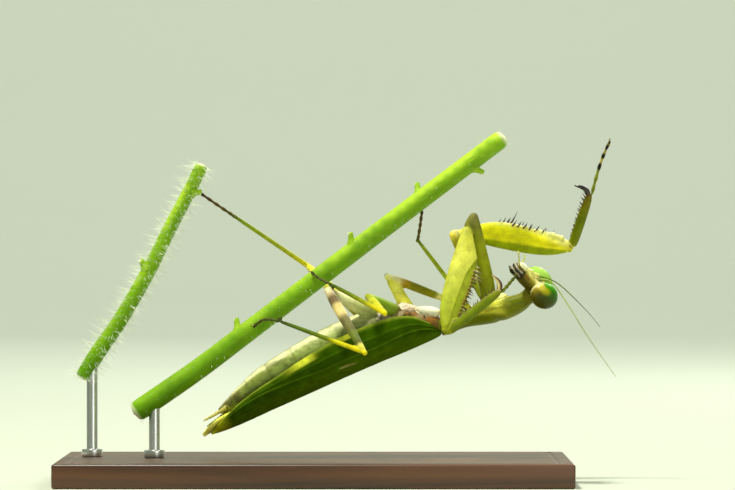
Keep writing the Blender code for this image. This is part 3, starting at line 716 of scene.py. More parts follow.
for name, side in SIDES.items():
    bulb(f"cheek_{name}", in_head(side * 1.35, 2.6, -0.25), HEAD_MOUTH + HEAD_LEFT * side * -0.35,
         (1.4, 0.5, 0.8), "0 7a7414, 1 8c7c24")
    bulb(f"upper_jaw_{name}", in_head(side * 0.85, 4.5, -0.35), HEAD_MOUTH, (1.35, 0.5, 0.8),
         "0 5a4a14, .18 1c120a, .42 1c120a, .48 e6dfbc, .56 e6dfbc, .62 140d07, .84 140d07, .92 d9d2ac, "
         "1 8c8460")
    bulb(f"socket_{name}", in_head(side * 0.72, 1.5, 1.12), HEAD_FACE, (0.24, 0.36, 0.36),
         "0 5c6a12, .5 141004, 1 141004")
    line = smooth_path([in_head(*place) for place in PALPS[name]], len(PALP_SIZES))
    palp = loft(f"palp_{name}", line, PALP_SIZES, HEAD_LEFT, sides=10)
    rounded(palp, 1)
    form(palp, between(line[0], line[-1]),
         "0 4a4414, .3 9a9438, .34 6a6424, .4 d0d070, .64 c2c45a, .7 8a8434, .76 dadc86, 1 c8c878")
    bulb(f"lip_palp_{name}", in_head(side * 0.45, 5.7, -1.2), HEAD_MOUTH + HEAD_FACE * 0.3,
         (0.75, 0.19, 0.19), "0 c3bd62, .4 1c130a, .7 1c130a, 1 d8d2a8")
OCELLI = ((0, 0.72, 1.32), (0.42, 0.28, 1.28), (-0.42, 0.28, 1.28))


# ---------------------------------------------------------------- skin: forms of the forelegs
# Each grasping leg is a long hip, a short second hip, a deep blade of a thigh whose lower edge
# carries the spines, and a slimmer shin that folds against it and ends in a strong claw.

# where each segment starts and ends, then which way the spines of the thigh and the shin point
LEG_FIELDS = ("root", "apex", "hinge", "knee", "ankle", "spines", "shin_spines")
LEG_ROWS = {
    "left": ((28.6, -6.2, 30.2), (26.1, -8.0, 44.0), (25.0, -8.3, 42.0), (21.5, -15.0, 24.9),
             (30.2, -15.2, 31.7), (0.98, 0.0, -0.2), (-0.6, 0.0, 0.8)),
    "right": ((28.8, -3.2, 29.8), (22.7, 4.2, 40.9), (23.7, 4.5, 41.0), (42.6, 5.5, 38.8),
              (45.4, 0.9, 47.5), (0.1, 0.0, 1.0), (-0.95, 0.1, 0.3)),
}
FORELEGS = {name: dict(zip(LEG_FIELDS, map(Vector, row))) for name, row in LEG_ROWS.items()}
# (place along, half thickness, half depth, offset towards the spines)
THIGH = ((0.0, 0.55, 0.65, 0.0), (0.04, 0.72, 0.95, 0.04), (0.1, 0.82, 1.2, 0.15), (0.2, 0.95, 1.7, 0.4),
         (0.28, 1.02, 2.05, 0.56), (0.36, 1.08, 2.25, 0.58), (0.45, 1.1, 2.3, 0.5), (0.54, 1.05, 2.27, 0.32),
         (0.65, 1.0, 2.15, 0.1), (0.75, 0.94, 1.98, -0.05), (0.84, 0.85, 1.7, -0.1),
         (0.92, 0.74, 1.32, -0.05), (0.98, 0.64, 0.9, 0.0), (1.02, 0.35, 0.5, 0.0))
SHIN = ((0.0, 0.42, 0.48, 0.0), (0.05, 0.55, 0.72, 0.0), (0.15, 0.6, 0.85, 0.0), (0.45, 0.58, 0.84, 0.0),
        (0.7, 0.56, 0.8, 0.0), (0.9, 0.5, 0.66, 0.0), (1.0, 0.38, 0.46, 0.0))
# Each leg's facet colour is painted shade, laid later on the thigh's shaded facet.
FORELEG_BANDS = {
    "left": {
        "coxa": "0 727c0e, .4 9ca40e, .75 9aa01c, .9 7e8038, 1 727044",
        "trochanter": "0 807e44, 1 76782c",
        "femur": "0 b0b248, .12 cccc50, .3 d0d05c, .5 c2c650, .75 aab438, 1 98a026",
        "tibia": "0 8a8c20, .1 6c7a0c, .5 74840c, .8 76860c, 1 7e7c1c",
        "tarsus": "0 6c740c, .7 4e560a, 1 2c340a",
        "knee": "0 8a9018, 1 8a9018",
        "facet_shade": "98a21c",
    },
    "right": {
        "coxa": "0 7a8410, .5 8c9410, .85 b8b02c, 1 f0dc58",
        "trochanter": "0 efe49a, 1 e8e08c",
        "femur": "0 f0e860, .15 f4ec14, .6 f2ea04, .92 e6dc04, 1 d8cc30",
        "tibia": "0 b0ac1c, .12 7e8806, .5 6e7e02, 1 7a6a0c",
        "knee": "0 dcd028, .5 ece058, 1 f4ee98",
        "tarsus": "0 76801c, .44 7a8020, .47 1a1509, .55 1a1509, .58 a89c50, .64 a89c50, .67 120e06, "
                  ".73 120e06, .76 9a8e48, .8 9a8e48, .83 0e0b05, .89 0e0b05, .92 8a7c40, .95 0e0b05, "
                  "1 0e0b05",
        "facet_shade": "92a604",
    },
}
TEETH = 15
COXA_LENGTH = 14.0


def width_at(rows, t):
    """The half thickness, half depth and offset of a limb at a place along it."""
    return [float(np.interp(t, [row[0] for row in rows], [row[k] for row in rows])) for k in (1, 2, 3)]


def blade(name, start, end, ventral, rows):
    """A limb from rows of (place along, half thickness, half depth, offset towards the spines)."""
    along = (end - start).normalized()
    ventral = (ventral - along * ventral.dot(along)).normalized()
    path = [start.lerp(end, t) + ventral * offset for t, _, _, offset in rows]
    made = loft(name, path, [(width, depth) for _, width, depth, _ in rows], ventral, sides=18)
    rounded(made, 2)
    return made, between(start, end), ventral


for name, leg in FORELEGS.items():
    bands = FORELEG_BANDS[name]
    hinge, knee = leg["hinge"], leg["knee"]
    hip_axis = leg["root"], (leg["apex"] - leg["root"]).normalized(), COXA_LENGTH
    form(rounded_solid(f"fore_coxa_{name}"), hip_axis, bands["coxa"], (-leg["spines"], 0.4, "6f7a1c"))
    for part, near in (("trochanter", "apex"), ("tarsus", "ankle")):
        leg[part] = long_axis(f"fore_{part}_{name}", leg[near])
    form(rounded_solid(f"fore_trochanter_{name}"), leg["trochanter"], bands["trochanter"])
    thigh, axis, down = blade(f"thigh_{name}", hinge, knee, leg["spines"], THIGH)
    form(thigh, axis, bands["femur"])
    shin, axis, leg["shin_down"] = blade(f"shin_{name}", knee, leg["ankle"], leg["shin_spines"], SHIN)
    form(shin, axis, bands["tibia"], (-leg["shin_down"], 0.35, "5c6410"))
    form(rounded_solid(f"fore_tarsus_{name}"), leg["tarsus"], bands["tarsus"])
    leg["thigh_down"] = down
    along = (knee - hinge).normalized()
    across = down.cross(along) * SIDES[name]
    for i, t in enumerate(np.linspace(0.36, 0.9, TEETH)):
        half_width, half_depth, offset = width_at(THIGH, t)
        foot = hinge.lerp(knee, t) + down * (offset + half_depth * 0.86) + across * half_width * 0.45
        size = 0.3 if i % 3 == 0 else 0.2
        if name == "right":
            size += 0.75 * max(0.0, t - 0.5)
        bulb(f"tooth_{name}_{i}", foot, down, (size * 1.25, size * 0.85, size * 0.85),
             "0 e8e454, .5 f4f08c, 1 fffcc0")
    bulb(f"knee_lobe_{name}", knee - along * 0.5, down, (1.0, 0.6, 0.72), bands["knee"])


# ---------------------------------------------------------------- skin: forms of the walking legs
# Slender banded legs: a stout hip cone, a thigh that thins to a bright knee, a straight shin, and a
# foot of short segments.

# The far mid leg's bright yellows are partly its own colour and partly painted sunlight, and the near mid
# hip's dull green is painted shade.
WALKING_BANDS = {
    "near": {
        "coxa": "0 7c883c, .35 d0d48c, .8 e6e4b0, 1 c8b088",
        "femur": "0 e2d8ac, .08 c8b890, .14 6c5a40, .22 70603e, .28 e6d290, .4 e2cc8c, .47 7c744a, "
                 ".64 686634, .72 6c782a, .8 5e6c24, .86 525424, .9 c8c460, 1 dcd228",
        "tibia": "0 dcd008, .12 d8ca08, .34 c0ba0c, .44 6a7c14, .8 50680e, .94 3e5214, 1 384614",
        "tarsus": "0 44521c, .4 545c24, 1 3a3e18",
    },
    "near_mid": {
        "coxa": "0 7c7a2c, .3 84a02c, .8 8cac2c, 1 a4b438",
        "femur": "0 a0aa28, .3 b8bc30, .9 d8d224, 1 e4da1c",
        "tibia": "0 dcd008, .2 ccc00c, .42 949c10, .6 6c7c0e, 1 465c0c",
    },
    "far_mid": {
        "coxa": "0 c8c030, .3 f8f060, .7 fcf880, 1 ece030",
        "femur": "0 fcf6d0, .14 f4e6a0, .2 c09a18, .3 8c8a10, .56 94920e, .61 fcf8a0, .75 f4ec50, 1 e4dc40",
        "tibia": "0 ece040, .14 dcdc34, .4 bccc34, .85 a4b424, 1 6c7c1c",
    },
    "far": {
        "coxa": "0 6f7434, .4 a8a048, 1 b4aa54",
        "femur": "0 d8d070, .1 8c8634, .3 dcd858, .7 e4e05c, .92 ece450, 1 f0e84c",
        "tibia": "0 ece040, .14 d4d034, .4 b0b834, .9 8a9c24, 1 6c7c1c",
        "tarsus": "0 52521a, .5 5c4620, 1 423018",
    },
}
HIPS = {"mid": -3.5, "hind": -8.4}  # where each pair leaves the body
JOINT_BULBS = {"femur": 0.62, "tibia": 0.46, "tarsus": 0.36}
walking_joints = {}
for pair in HIPS:
    for side, seen in (("left", "near"), ("right", "far")):
        here = np.array(in_body(HIPS[pair], 0, -4))
        leg_bands = {**WALKING_BANDS[seen], **WALKING_BANDS.get(f"{seen}_{pair}", {})}
        for part in ("coxa", "femur", "tibia", "tarsus"):
            node = f"{pair}_{part}_{side}"
            walking_joints[node] = long_axis(node, here)
            start, direction, length = walking_joints[node]
            form(rounded_solid(node), walking_joints[node], leg_bands[part])
            if part != "coxa":
                first_band = leg_bands[part].split(",")[0]
                bulb(f"{node}_joint", start, direction, [JOINT_BULBS[part]] * 3, first_band)
            here = start + direction * length


# ---------------------------------------------------------------- skin: fusing, relief and markings
# The forms are fused and smoothed. The belly's overlapping rings, the feet's segments and the palps'
# joints are then pressed into the surface, and the markings are laid on it by place. Some of them are
# painted light and shade, laid by which way the surface faces.

MOST_TRIANGLES = 190_000
VOXEL = 0.115
RING_ENDS = (-13.5, -18.6, -23.6, -28.4, -32.6, -36.0)
CREASES = (-8.4, -4.2)  # where the abdomen and the two rear parts of the thorax meet
WAIST = CREASES[0]
TRUNK_FORMS = [f"{part}_form" for part in TRUNK_BANDS]

for i, piece in enumerate(forms):
    edited(piece, (bpy.ops.transform.shrink_fatten, {"value": SWELL}))
    number = piece.data.attributes.new("form", "INT", "FACE")
    number.data.foreach_set("value", [i] * len(piece.data.polygons))
names = [piece.name for piece in forms]
skin = join(forms, "skin")
face_forms = np.zeros(len(skin.data.polygons), int)
skin.data.attributes["form"].data.foreach_get("value", face_forms)
lookup = BVHTree.FromPolygons(
    [vertex.co for vertex in skin.data.vertices], [list(face.vertices) for face in skin.data.polygons]
)


def form_of_each(found):
    return np.array([face_forms[lookup.find_nearest(place)[2]] for place in found])


def body_place(found):
    """Each point's place along, to the left and towards the back in the body's own frame."""
    away = found - WING_ROOT
    return away @ FORWARD, away @ LEFT, away @ DORSAL


def share_along(found, name):
    start, direction, length = axes[name]
    return np.clip((found - start) @ direction / length, 0, 1)


def bump_at(value, width):
    """1 where a value is 0, falling off on both sides."""
    return np.exp(-((value / width) ** 2))


def soft_step(value, width):
    return 1 / (1 + np.exp(-value / width))


def points_in(*wanted):
    """The numbers of the skin's points that belong to some forms."""
    return np.flatnonzero(np.isin(belongs, [names.index(name) for name in wanted]))


shaped(skin, "REMESH", mode="VOXEL", voxel_size=VOXEL, adaptivity=0)
shaped(skin, "SMOOTH", factor=0.5, iterations=5)
shaped(skin, "DISPLACE", direction="NORMAL", strength=-SWELL, mid_level=0)

found, normals = mesh_points(skin), mesh_normals(skin)
belongs = form_of_each(found)
relief = np.zeros(len(found))
trunk = points_in(*TRUNK_FORMS)
along, left, dorsal = body_place(found[trunk])
for end in RING_ENDS:
    relief[trunk] += 0.04 * bump_at(along - end - 0.7, 0.45) - 0.06 * bump_at(along - end, 0.2)
for end in CREASES:
    relief[trunk] -= 0.2 * bump_at(along - end, 0.3)
relief[trunk] -= 0.12 * bump_at(np.abs(left) - 2.6, 0.25) * (dorsal < -5)
# (what a form's name holds, depth of its rings, how many, where the first stands, how far all are raised)
RINGED = (("tarsus", 0.05, 5, 0.5, 0.01), ("palp", 0.035, 3, 0.5, 0.0), ("cercus", 0.04, 8, 0.0, 0.0))
for name in names:
    for part, depth, count, shift, raised in RINGED:
        if part in name and not name.startswith("lip_palp"):
            here = points_in(name)
            turns = count * share_along(found[here], name) - shift
            relief[here] += depth * np.cos(2 * math.pi * turns) + raised
FACETS = {
    "left": ((0.25, 0.45, 0.7, 0.95), (2.6, 1.1, 0.35, -0.2)),
    "right": ((0.0, 0.5, 0.8, 1.0), (-0.2, -0.5, -0.75, -0.7)),
}


def facet_depth(found, name):
    """How far each point of a thigh lies past the long ridge on its side, towards the spines."""
    leg = FORELEGS[name]
    t = share_along(found, f"thigh_{name}")
    depth = (found - leg["hinge"]) @ leg["thigh_down"]
    return depth - np.interp(t, *FACETS[name])


for name in FORELEGS:
    thigh = points_in(f"thigh_{name}")
    past = facet_depth(found[thigh], name)
    relief[thigh] += 0.09 * bump_at(past, 0.16) - 0.05 * bump_at(past - 0.55, 0.35)
shield = points_in("prothorax_form")
relief[shield] -= 0.14 * bump_at(share_along(found[shield], "prothorax_form") - 0.62, 0.035)
cranium = points_in("head_form")
for groove in (-1.3, -0.55, 0.55, 1.3):
    sideways = (found[cranium] - HEAD_CENTRE) @ HEAD_LEFT
    relief[cranium] -= 0.06 * bump_at(sideways - groove, 0.09)
set_points(skin, found + normals * relief[:, None])
shaped(skin, "SMOOTH", factor=0.35, iterations=2)
triangles = sum(len(face.vertices) - 2 for face in skin.data.polygons)
shaped(skin, "DECIMATE", ratio=min(1, MOST_TRIANGLES / triangles))

found, normals = mesh_points(skin), mesh_normals(skin)
belongs = form_of_each(found)
tint = np.zeros((len(found), 3))
for name in names:
    here = points_in(name)
    places, shades = zip(*markings[name])
    t = share_along(found[here], name)
    tint[here] = np.column_stack([np.interp(t, places, channel) for channel in zip(*shades)])
    if name in shadows:
        direction, strength, dark = shadows[name]
        facing = np.clip(normals[here] @ direction, 0, 1)[:, None] ** 1.5 * strength
        tint[here] = tint[here] * (1 - facing) + dark * facing


def layered(shades, *layers):
    """Lays colours over shades, as (mask, colour) pairs, each as strongly as its mask says."""
    for mask, code in layers:
        mask = np.clip(mask, 0, 1)[:, None]
        shades = shades * (1 - mask) + colour(code) * mask
    return shades


def tinted(piece, ground, *layers):
    """Stores a piece's own tint: a ground colour, with layers over it."""
    shades = np.tile(colour(ground), (len(piece.data.vertices), 1))
    keep_values(piece, "tint", layered(shades, *layers))


# Painted shade: the left thigh's facet past its ridge, on the spine side, and the right thigh's back facet
# are darkened to olive. On the right thigh, the pale edge on the spine side is a painted highlight.
for name in FORELEGS:
    thigh = points_in(f"thigh_{name}")
    past = facet_depth(found[thigh], name)
    t = share_along(found[thigh], f"thigh_{name}")
    layers = [(soft_step(past if name == "left" else -past, 0.1) * 0.9, FORELEG_BANDS[name]["facet_shade"])]
    if name == "right":
        edge = np.interp(t, (0.1, 0.6, 0.75, 0.9, 1), (2.9, 2.75, 1.9, 0.9, 0.7))
        layers.append((soft_step(past - edge, 0.16) * 0.85, "fcf8a8"))
    tint[thigh] = layered(tint[thigh], *layers)

cranium = points_in("head_form", "frontal_shield", "clypeus", "cheek_left", "cheek_right", "upper_jaw_left",
                    "upper_jaw_right", "lower_lip")
away = found[cranium] - HEAD_CENTRE
sideways, mouthward, faceward = (away @ axis for axis in (HEAD_LEFT, HEAD_MOUTH, HEAD_FACE))
side = np.abs(sideways)


mouth = soft_step(mouthward - 3.9, 0.08) * soft_step(0.38 - faceward, 0.06)
streaks = bump_at(faceward + 0.1, 0.13) + bump_at(faceward + 0.86, 0.15)
brow = bump_at(side - 1.75, 0.5) * bump_at(mouthward - 1.0, 0.6) * soft_step(faceward - 0.1, 0.15)
cheek_edge = bump_at(side - 1.15, 0.4) * bump_at(mouthward - 2.4, 0.35) * bump_at(faceward - 0.4, 0.3)
jaw_root = bump_at(mouthward - 3.35, 0.6) * bump_at(faceward - 0.05, 0.32) * soft_step(side - 0.6, 0.1)
front = soft_step(faceward - 0.4, 0.1)
tint[cranium] = layered(
    tint[cranium],
    (soft_step(-0.4 - faceward, 0.12) * 0.95, "544e0c"),
    (soft_step(faceward + 0.05, 0.12) * soft_step(mouthward - 0.8, 0.2) * 0.9, "b0a42c"),
    (soft_step(faceward - 0.48, 0.08) * soft_step(mouthward - 1.2, 0.2) * 0.95, "faf4a0"),
    (brow * 0.95, "f6f2c8"),
    (cheek_edge * 0.7, "7c7208"),
    (jaw_root * 0.9, "5c3408"),
    (bump_at(side - 0.85, 0.2) * bump_at(mouthward - 4.0, 0.2) * front * 0.8, "5c4a10"),
    (bump_at(side - 1.0, 0.12) * bump_at(mouthward - 2.0, 0.6) * front * 0.5, "8a7414"),
    (mouth * 0.97, "140d07"),
    (mouth * streaks * soft_step(mouthward - 4.4, 0.1) * 0.8, "d8cfb4"),
)

# Painted highlight: the shield's side edge is painted bright yellow over its middle stretch, where light
# catches it.
shield = points_in("prothorax_form")
t = share_along(found[shield], "prothorax_form")
line = np.column_stack([np.interp(t, np.linspace(0, 1, 9), channel) for channel in zip(*shield_line)])
rear = (found[shield] - line) @ PRONOTUM_BACK
bright = soft_step(np.interp(t, (0.45, 0.62, 0.75), (0.1, 0.75, 1.35)) - rear, 0.12)
bright *= soft_step(t - 0.47, 0.025) * soft_step(0.76 - t, 0.03) * 0.95
tint[shield] = layered(tint[shield], (bright, "ece85c"))

belly = points_in(*TRUNK_FORMS)
along, _, _ = body_place(found[belly])
rough, fine = (np.array([noise.fractal(Vector(place) * scale, 1.0, 2.0, octaves) for place in found[belly]])
               for scale, octaves in ((0.55, 4), (1.7, 3)))
upward = -(normals[belly] @ DORSAL)
behind = along < WAIST
# Painted light by facing: the cream on the upward faces of the belly and the thorax is partly their own pale
# underside and partly painted sunlight, and the grey-green on the belly's flanks is partly its own colour and
# partly painted shade.
tint[belly] = layered(
    tint[belly],
    (soft_step(upward - 0.52 + rough * 0.08, 0.05) * behind * 0.95, "f4f2bc"),
    (soft_step(0.2 - upward, 0.08) * behind * 0.5, "6c7e40"),
    (np.clip((fine - 0.25) * 6, 0, 0.4) * behind * soft_step(0.6 - upward, 0.05), "4a4a20"),
    (np.clip(rough * 5, 0, 0.6) * (along < -33.5) * soft_step(0.7 - upward, 0.05), "5c5030"),
    (np.clip((fine + 0.05) * 5, 0, 0.75) * ~behind, "3e2616"),
    (np.clip((rough - 0.1) * 6, 0, 0.8) * ~behind, "c8b48c"),
    (soft_step(upward - 0.45 + fine * 0.35, 0.07) * ~behind * 0.9, "f2e8d0"),
    *((bump_at(along - end, 0.2) * 0.25, "5f6a34") for end in RING_ENDS),
)
keep_values(skin, "tint", tint)


def waxy_detail():
    """A shared finish of living skin: cloudy tone, small dark flecks, and a finely pitted surface."""
    group = bpy.data.node_groups.new("waxy_detail", "ShaderNodeTree")
    socket = group.interface.new_socket
    ways = {"INPUT": {"Tint": "Color", "Flecks": "Float", "Cloud": "Float"},
            "OUTPUT": {"Color": "Color", "Roughness": "Float", "Height": "Float"}}
    for way, kinds in ways.items():
        for name, kind in kinds.items():
            socket(name, in_out=way, socket_type="NodeSocket" + kind)
    given = group.nodes.new("NodeGroupInput").outputs
    place = own_place(group)
    cloud = clouds(group, place, 650, Detail=4)
    fleck = spread(group, clouds(group, place, 3600, Detail=2), (0.60, 0.72), (0, 1))
    pits = add_node(group, "TexVoronoi", {"Vector": place, "Scale": 5200}).outputs["Distance"]
    toned = mixed(group, given["Cloud"], given["Tint"], spread(group, cloud, (0.3, 0.7), (0.35, 1.55)),
                  blend_type="MULTIPLY")
    amount = add_node(group, "Math", {0: fleck, 1: given["Flecks"]}, operation="MULTIPLY").outputs["Value"]
    wire(group.nodes.new("NodeGroupOutput"), {
        "Color": mixed(group, amount, toned, "4a3a1e"), "Height": pits,
        "Roughness": spread(group, cloud, (0, 1), (0.34, 0.58))})
    return group


WAXY = waxy_detail()


def waxy_colour(tree, flecks, cloud):
    """The shared detail over a piece's own tint."""
    sockets = {"Tint": kept(tree, "tint", "Color"), "Flecks": flecks, "Cloud": cloud}
    return add_node(tree, "Group", sockets, node_tree=WAXY).outputs


def waxy_finish(name, flecks, cloud, bump, clear=0.15):
    """Living skin coloured by the piece's own tint, with the shared detail over it."""
    made, tree, shader = new_finish(name, 0.45, soft_light(0.15, clear, 0.0004, (1.0, 0.9, 0.25)))
    detail = waxy_colour(tree, flecks, cloud)
    wire(shader, {"Base Color": detail["Color"], "Roughness": detail["Roughness"],
                  "Normal": dents(tree, detail["Height"], bump, 0.00005)})
    return made


cuticle = waxy_finish("cuticle", 0.35, 0.35, 0.35)
FLESH_NODES = [
    name for name in NODES
    if not name.startswith(("eye", "antenna", "tegmen", "hindwing", "perch", "stand"))
]
finished(skin, cuticle, FLESH_NODES, smooth=80)


# ---------------------------------------------------------------- eyes
# Smooth bulging eyes of thousands of fine facets, straw-coloured in front, with a deep green band
# behind and a pale rim where they meet the head. Their undersides are darkened with painted shade,
# and their tops carry painted highlight.

eye_gloss = {"Coat Weight": 0.1, "Coat Roughness": 0.08}
eye_finish, tree, shader = new_finish("eye_lens", 0.22, {**soft_light(0.12, 0.05, 0.0005), **eye_gloss})
facets = add_node(tree, "TexVoronoi", {"Vector": own_place(tree), "Scale": 9000, "Randomness": 0.25})
wire(shader, {"Base Color": kept(tree, "tint", "Color"),
              "Normal": dents(tree, facets.outputs["Distance"], 0.12, 0.00003)})

# On the near eye, the cream zones at the upper front are partly a pale rim and partly painted highlight, and
# the dark zones facing down are painted shade. The lighter greens facing up on both eyes are painted light.
# (where each zone faces, how far round it starts, softness, colour, strength)
EYE_ZONES = {
    "eye_left": ("625a06", (
        ((-0.35, -0.75, 0.55), 0.80, 0.07, "9c8a34", 0.9), ((-0.3, -0.35, 0.89), 0.86, 0.035, "ece4ac", 0.95),
        ((-0.8, -0.2, 0.55), 0.90, 0.03, "dcd2a0", 0.8), ((1.0, -0.1, 0.2), 0.42, 0.05, "44980a", 1.0),
        ((0.5, -0.5, -0.72), 0.66, 0.10, "284602", 0.95), ((0.0, -0.5, -0.86), 0.82, 0.08, "3e3e04", 0.9),
        ((-0.1, -0.80, 0.60), 0.955, 0.015, "ead874", 0.95),
        ((0.1, -0.94, 0.32), 0.965, 0.012, "ccbc48", 0.9),
        ((0.32, -0.94, 0.04), 0.968, 0.012, "c0b41c", 0.85), ((0.62, -0.1, 0.78), 0.90, 0.04, "74bc3c", 0.8),
        ((1.0, 0.1, 0.05), 0.93, 0.02, "8cc840", 0.7),
    )),
    "eye_right": ("a4cc54", (
        ((0.2, -0.3, 0.93), 0.60, 0.10, "b4e070", 0.85), ((1.0, 0.2, 0.0), 0.80, 0.06, "5ea814", 0.9),
        ((-0.75, -0.5, 0.45), 0.82, 0.06, "66801c", 0.85),
        ((0.3, 0.9, -0.2), 0.5, 0.08, "8a7c14", 0.8),
    )),
}
FAR_EYE_SHIFT = (0.45, 0.0, -0.12)
for node, (ground, zones) in EYE_ZONES.items():
    eye = rounded_solid(node)
    if node == "eye_right":
        set_points(eye, mesh_points(eye) + FAR_EYE_SHIFT)
    rounded(eye, 1)
    eye.name = node.replace("eye", "compound_eye")
    facing = mesh_normals(eye)
    tinted(eye, ground, *(
        (soft_step(facing @ Vector(direction).normalized() - start, softness) * strength, code)
        for direction, start, softness, code, strength in zones))
    finished(eye, eye_finish, [node], smooth=80)

simple_eyes = []
for place in OCELLI:
    bpy.ops.mesh.primitive_uv_sphere_add(segments=16, ring_count=10, radius=0.19, location=in_head(*place))
    simple_eyes.append(at_origin(bpy.context.object))
ocelli = join(simple_eyes, "simple_eyes")
tinted(ocelli, "e0c878")
finished(ocelli, eye_finish, smooth=80)


# ---------------------------------------------------------------- feelers
# Two long threads of many small segments, thicker at the root where the first segment swells.

feeler_finish = waxy_finish("feeler", 0.2, 0.3, 0.1, clear=0.1)
FEELER_LINES = {
    "antenna_left": (in_head(0.72, 1.45, 1.05), Vector((38.7, -10.6, 33.0)), Vector((41.4, -11.2, 29.2)),
                     Vector((44.5, -11.6, 24.2)), Vector((49.0, -12.0, 17.7))),
    "antenna_right": (in_head(-0.72, 1.45, 1.05), Vector((39.3, -8.4, 33.1)), Vector((42.2, -6.3, 30.7)),
                      Vector((45.2, -3.4, 27.7)), Vector((47.0, -1.2, 25.6))),
}
FEELER_TONES = {"antenna_left": ("a8bc5c", "a0a468"), "antenna_right": ("6c8a2c", "605e28")}
FEELER_RINGS = 70
for name, corners in FEELER_LINES.items():
    line = smooth_path(list(corners), FEELER_RINGS)
    sizes = []
    for i in range(FEELER_RINGS):
        size = 0.25 if i < 3 else 0.15 if i < 6 else 0.11 - 0.075 * i / (FEELER_RINGS - 1)
        sizes.append(size * (1.14 if i % 2 else 0.9))
    feeler = loft(name.replace("antenna", "feeler"), line, sizes, HEAD_LEFT, sides=8)
    reach = line[-1] - line[0]
    t = (mesh_points(feeler) - line[0]) @ reach / reach.length_squared
    root, tip = FEELER_TONES[name]
    tinted(feeler, root, (t, tip))
    finished(feeler, feeler_finish, [name], smooth=60)


# ---------------------------------------------------------------- spines, claws and jaws
# Hard pointed pieces, cream at the foot, brown, and nearly black at the tip: the spine rows of
# the forelegs, the shins' claws, the feet's small paired claws, and the jaws' tips. The left shin's claw
# is instead coloured by which way each face turns: its pale faces are painted highlight.

horn, tree, shader = new_finish("horn", 0.3, {"Coat Weight": 0.3})
horn_tones = tone_ramp(tree, kept(tree, "tip"), (0.0, "efe6a0"), (0.35, "7c4c18"), (0.75, "140d06"))
wire(shader, {"Base Color": horn_tones})


def thorn(foot, tip, radius, curve=Vector((0, 0, 0)), steps=5, darker=0.0):
    """A tapering spine from foot to tip, bowed towards curve, that stores its share of the way out."""
    shares = [i / steps for i in range(steps + 1)]
    path = [foot.lerp(tip, share) + curve * math.sin(math.pi * share) for share in shares]
    sizes = [radius * max(0.08, 1 - share) for share in shares]
    made = loft("thorn", path, sizes, (tip - foot).orthogonal(), sides=8)
    share = (mesh_points(made) - foot) @ (tip - foot) / (tip - foot).length_squared
    keep_values(made, "tip", np.clip(share + darker, 0, 1))
    return made


def spine_row(start, end, rows, ventral, side, places, lengths, lean, radius, darker):
    """Spines at places along a limb's lower edge. side sets their feet to one side, and lean tips them
    towards the limb's end."""
    along = (end - start).normalized()
    across = ventral.cross(along)
    made = []
    for t, length in zip(places, lengths):
        width, depth, offset = width_at(rows, t)
        foot = start.lerp(end, t) + ventral * (offset + depth * 0.78) + across * side * width * 0.5
        tip = foot + (ventral + along * lean + across * side * 0.25).normalized() * (length + depth * 0.22)
        bow = (ventral - along).normalized() * -0.06 * length
        made.append(thorn(foot, tip, radius, curve=bow, steps=3, darker=darker))
    return made


INNER_SPINES = 14
OUTER_SPINES = (0.46, 0.505, 0.555, 0.605, 0.66, 0.72)
LONG_SPINES = (0.335, 0.37, 0.41, 0.435)
LONG_LENGTHS = {"left": (1.1, 1.3, 1.5, 1.7), "right": (0.6, 0.9, 1.0, 2.3)}
SPINES_DARKER = {"left": 0.1, "right": 0.28}
CLAW_LENGTH = 3.0
# (past the ankle, out from the shin) of the claw's middle line, and its half sizes there
CLAW_ROWS = ((-0.5, 0.1, 0.44, 0.5), (0.5, 0.6, 0.44, 0.5), (0.7, 1.35, 0.36, 0.42),
             (0.65, CLAW_LENGTH * 0.75, 0.22, 0.26), (0.45, CLAW_LENGTH, 0.05, 0.05))
for name, leg in FORELEGS.items():
    knee, ankle, side, bend = leg["knee"], leg["ankle"], SIDES[name], leg["shin_down"]
    thigh = leg["hinge"], knee, THIGH, leg["thigh_down"]
    darker = SPINES_DARKER[name]
    inner = np.linspace(0.40, 0.84, INNER_SPINES)
    spines = spine_row(*thigh, -side, inner, [0.9, 0.5] * (INNER_SPINES // 2), 0.5, 0.19, darker + 0.1)
    spines += spine_row(*thigh, side, OUTER_SPINES, [0.8] * len(OUTER_SPINES), 0.55, 0.2, darker)
    long_darker = darker if name == "right" else -0.25
    spines += spine_row(*thigh, 0, LONG_SPINES, LONG_LENGTHS[name], 0.42, 0.22, long_darker)
    for way, longest, count in ((1, 1.0, 12), (-1, 0.8, 9)):
        lengths = longest * np.linspace(0.5, 1, count) ** 2
        places = np.linspace(0.2, 0.97, count)
        spines += spine_row(knee, ankle, SHIN, bend, way, places, lengths, 0.6, 0.15, darker)
    finished(join(spines, f"foreleg_spines_{name}"), horn, smooth=60)

    along = (ankle - knee).normalized()
    claw = loft(f"claw_{name}", [ankle + along * past + bend * out for past, out, _, _ in CLAW_ROWS],
                [row[2:] for row in CLAW_ROWS], along, sides=12)
    rounded(claw, 1)
    # Painted highlight: the left claw's faces turned away from its point stay pale cream, as sunlit gloss,
    # and those facing the point turn brown.
    if name == "left":
        share = 0.05 + 0.6 * soft_step(mesh_normals(claw) @ along - 0.15, 0.12)
    else:
        share = (mesh_points(claw) - ankle) @ bend / CLAW_LENGTH + 2 * darker
    keep_values(claw, "tip", np.clip(share, 0, 1))
    finished(claw, horn, smooth=60)

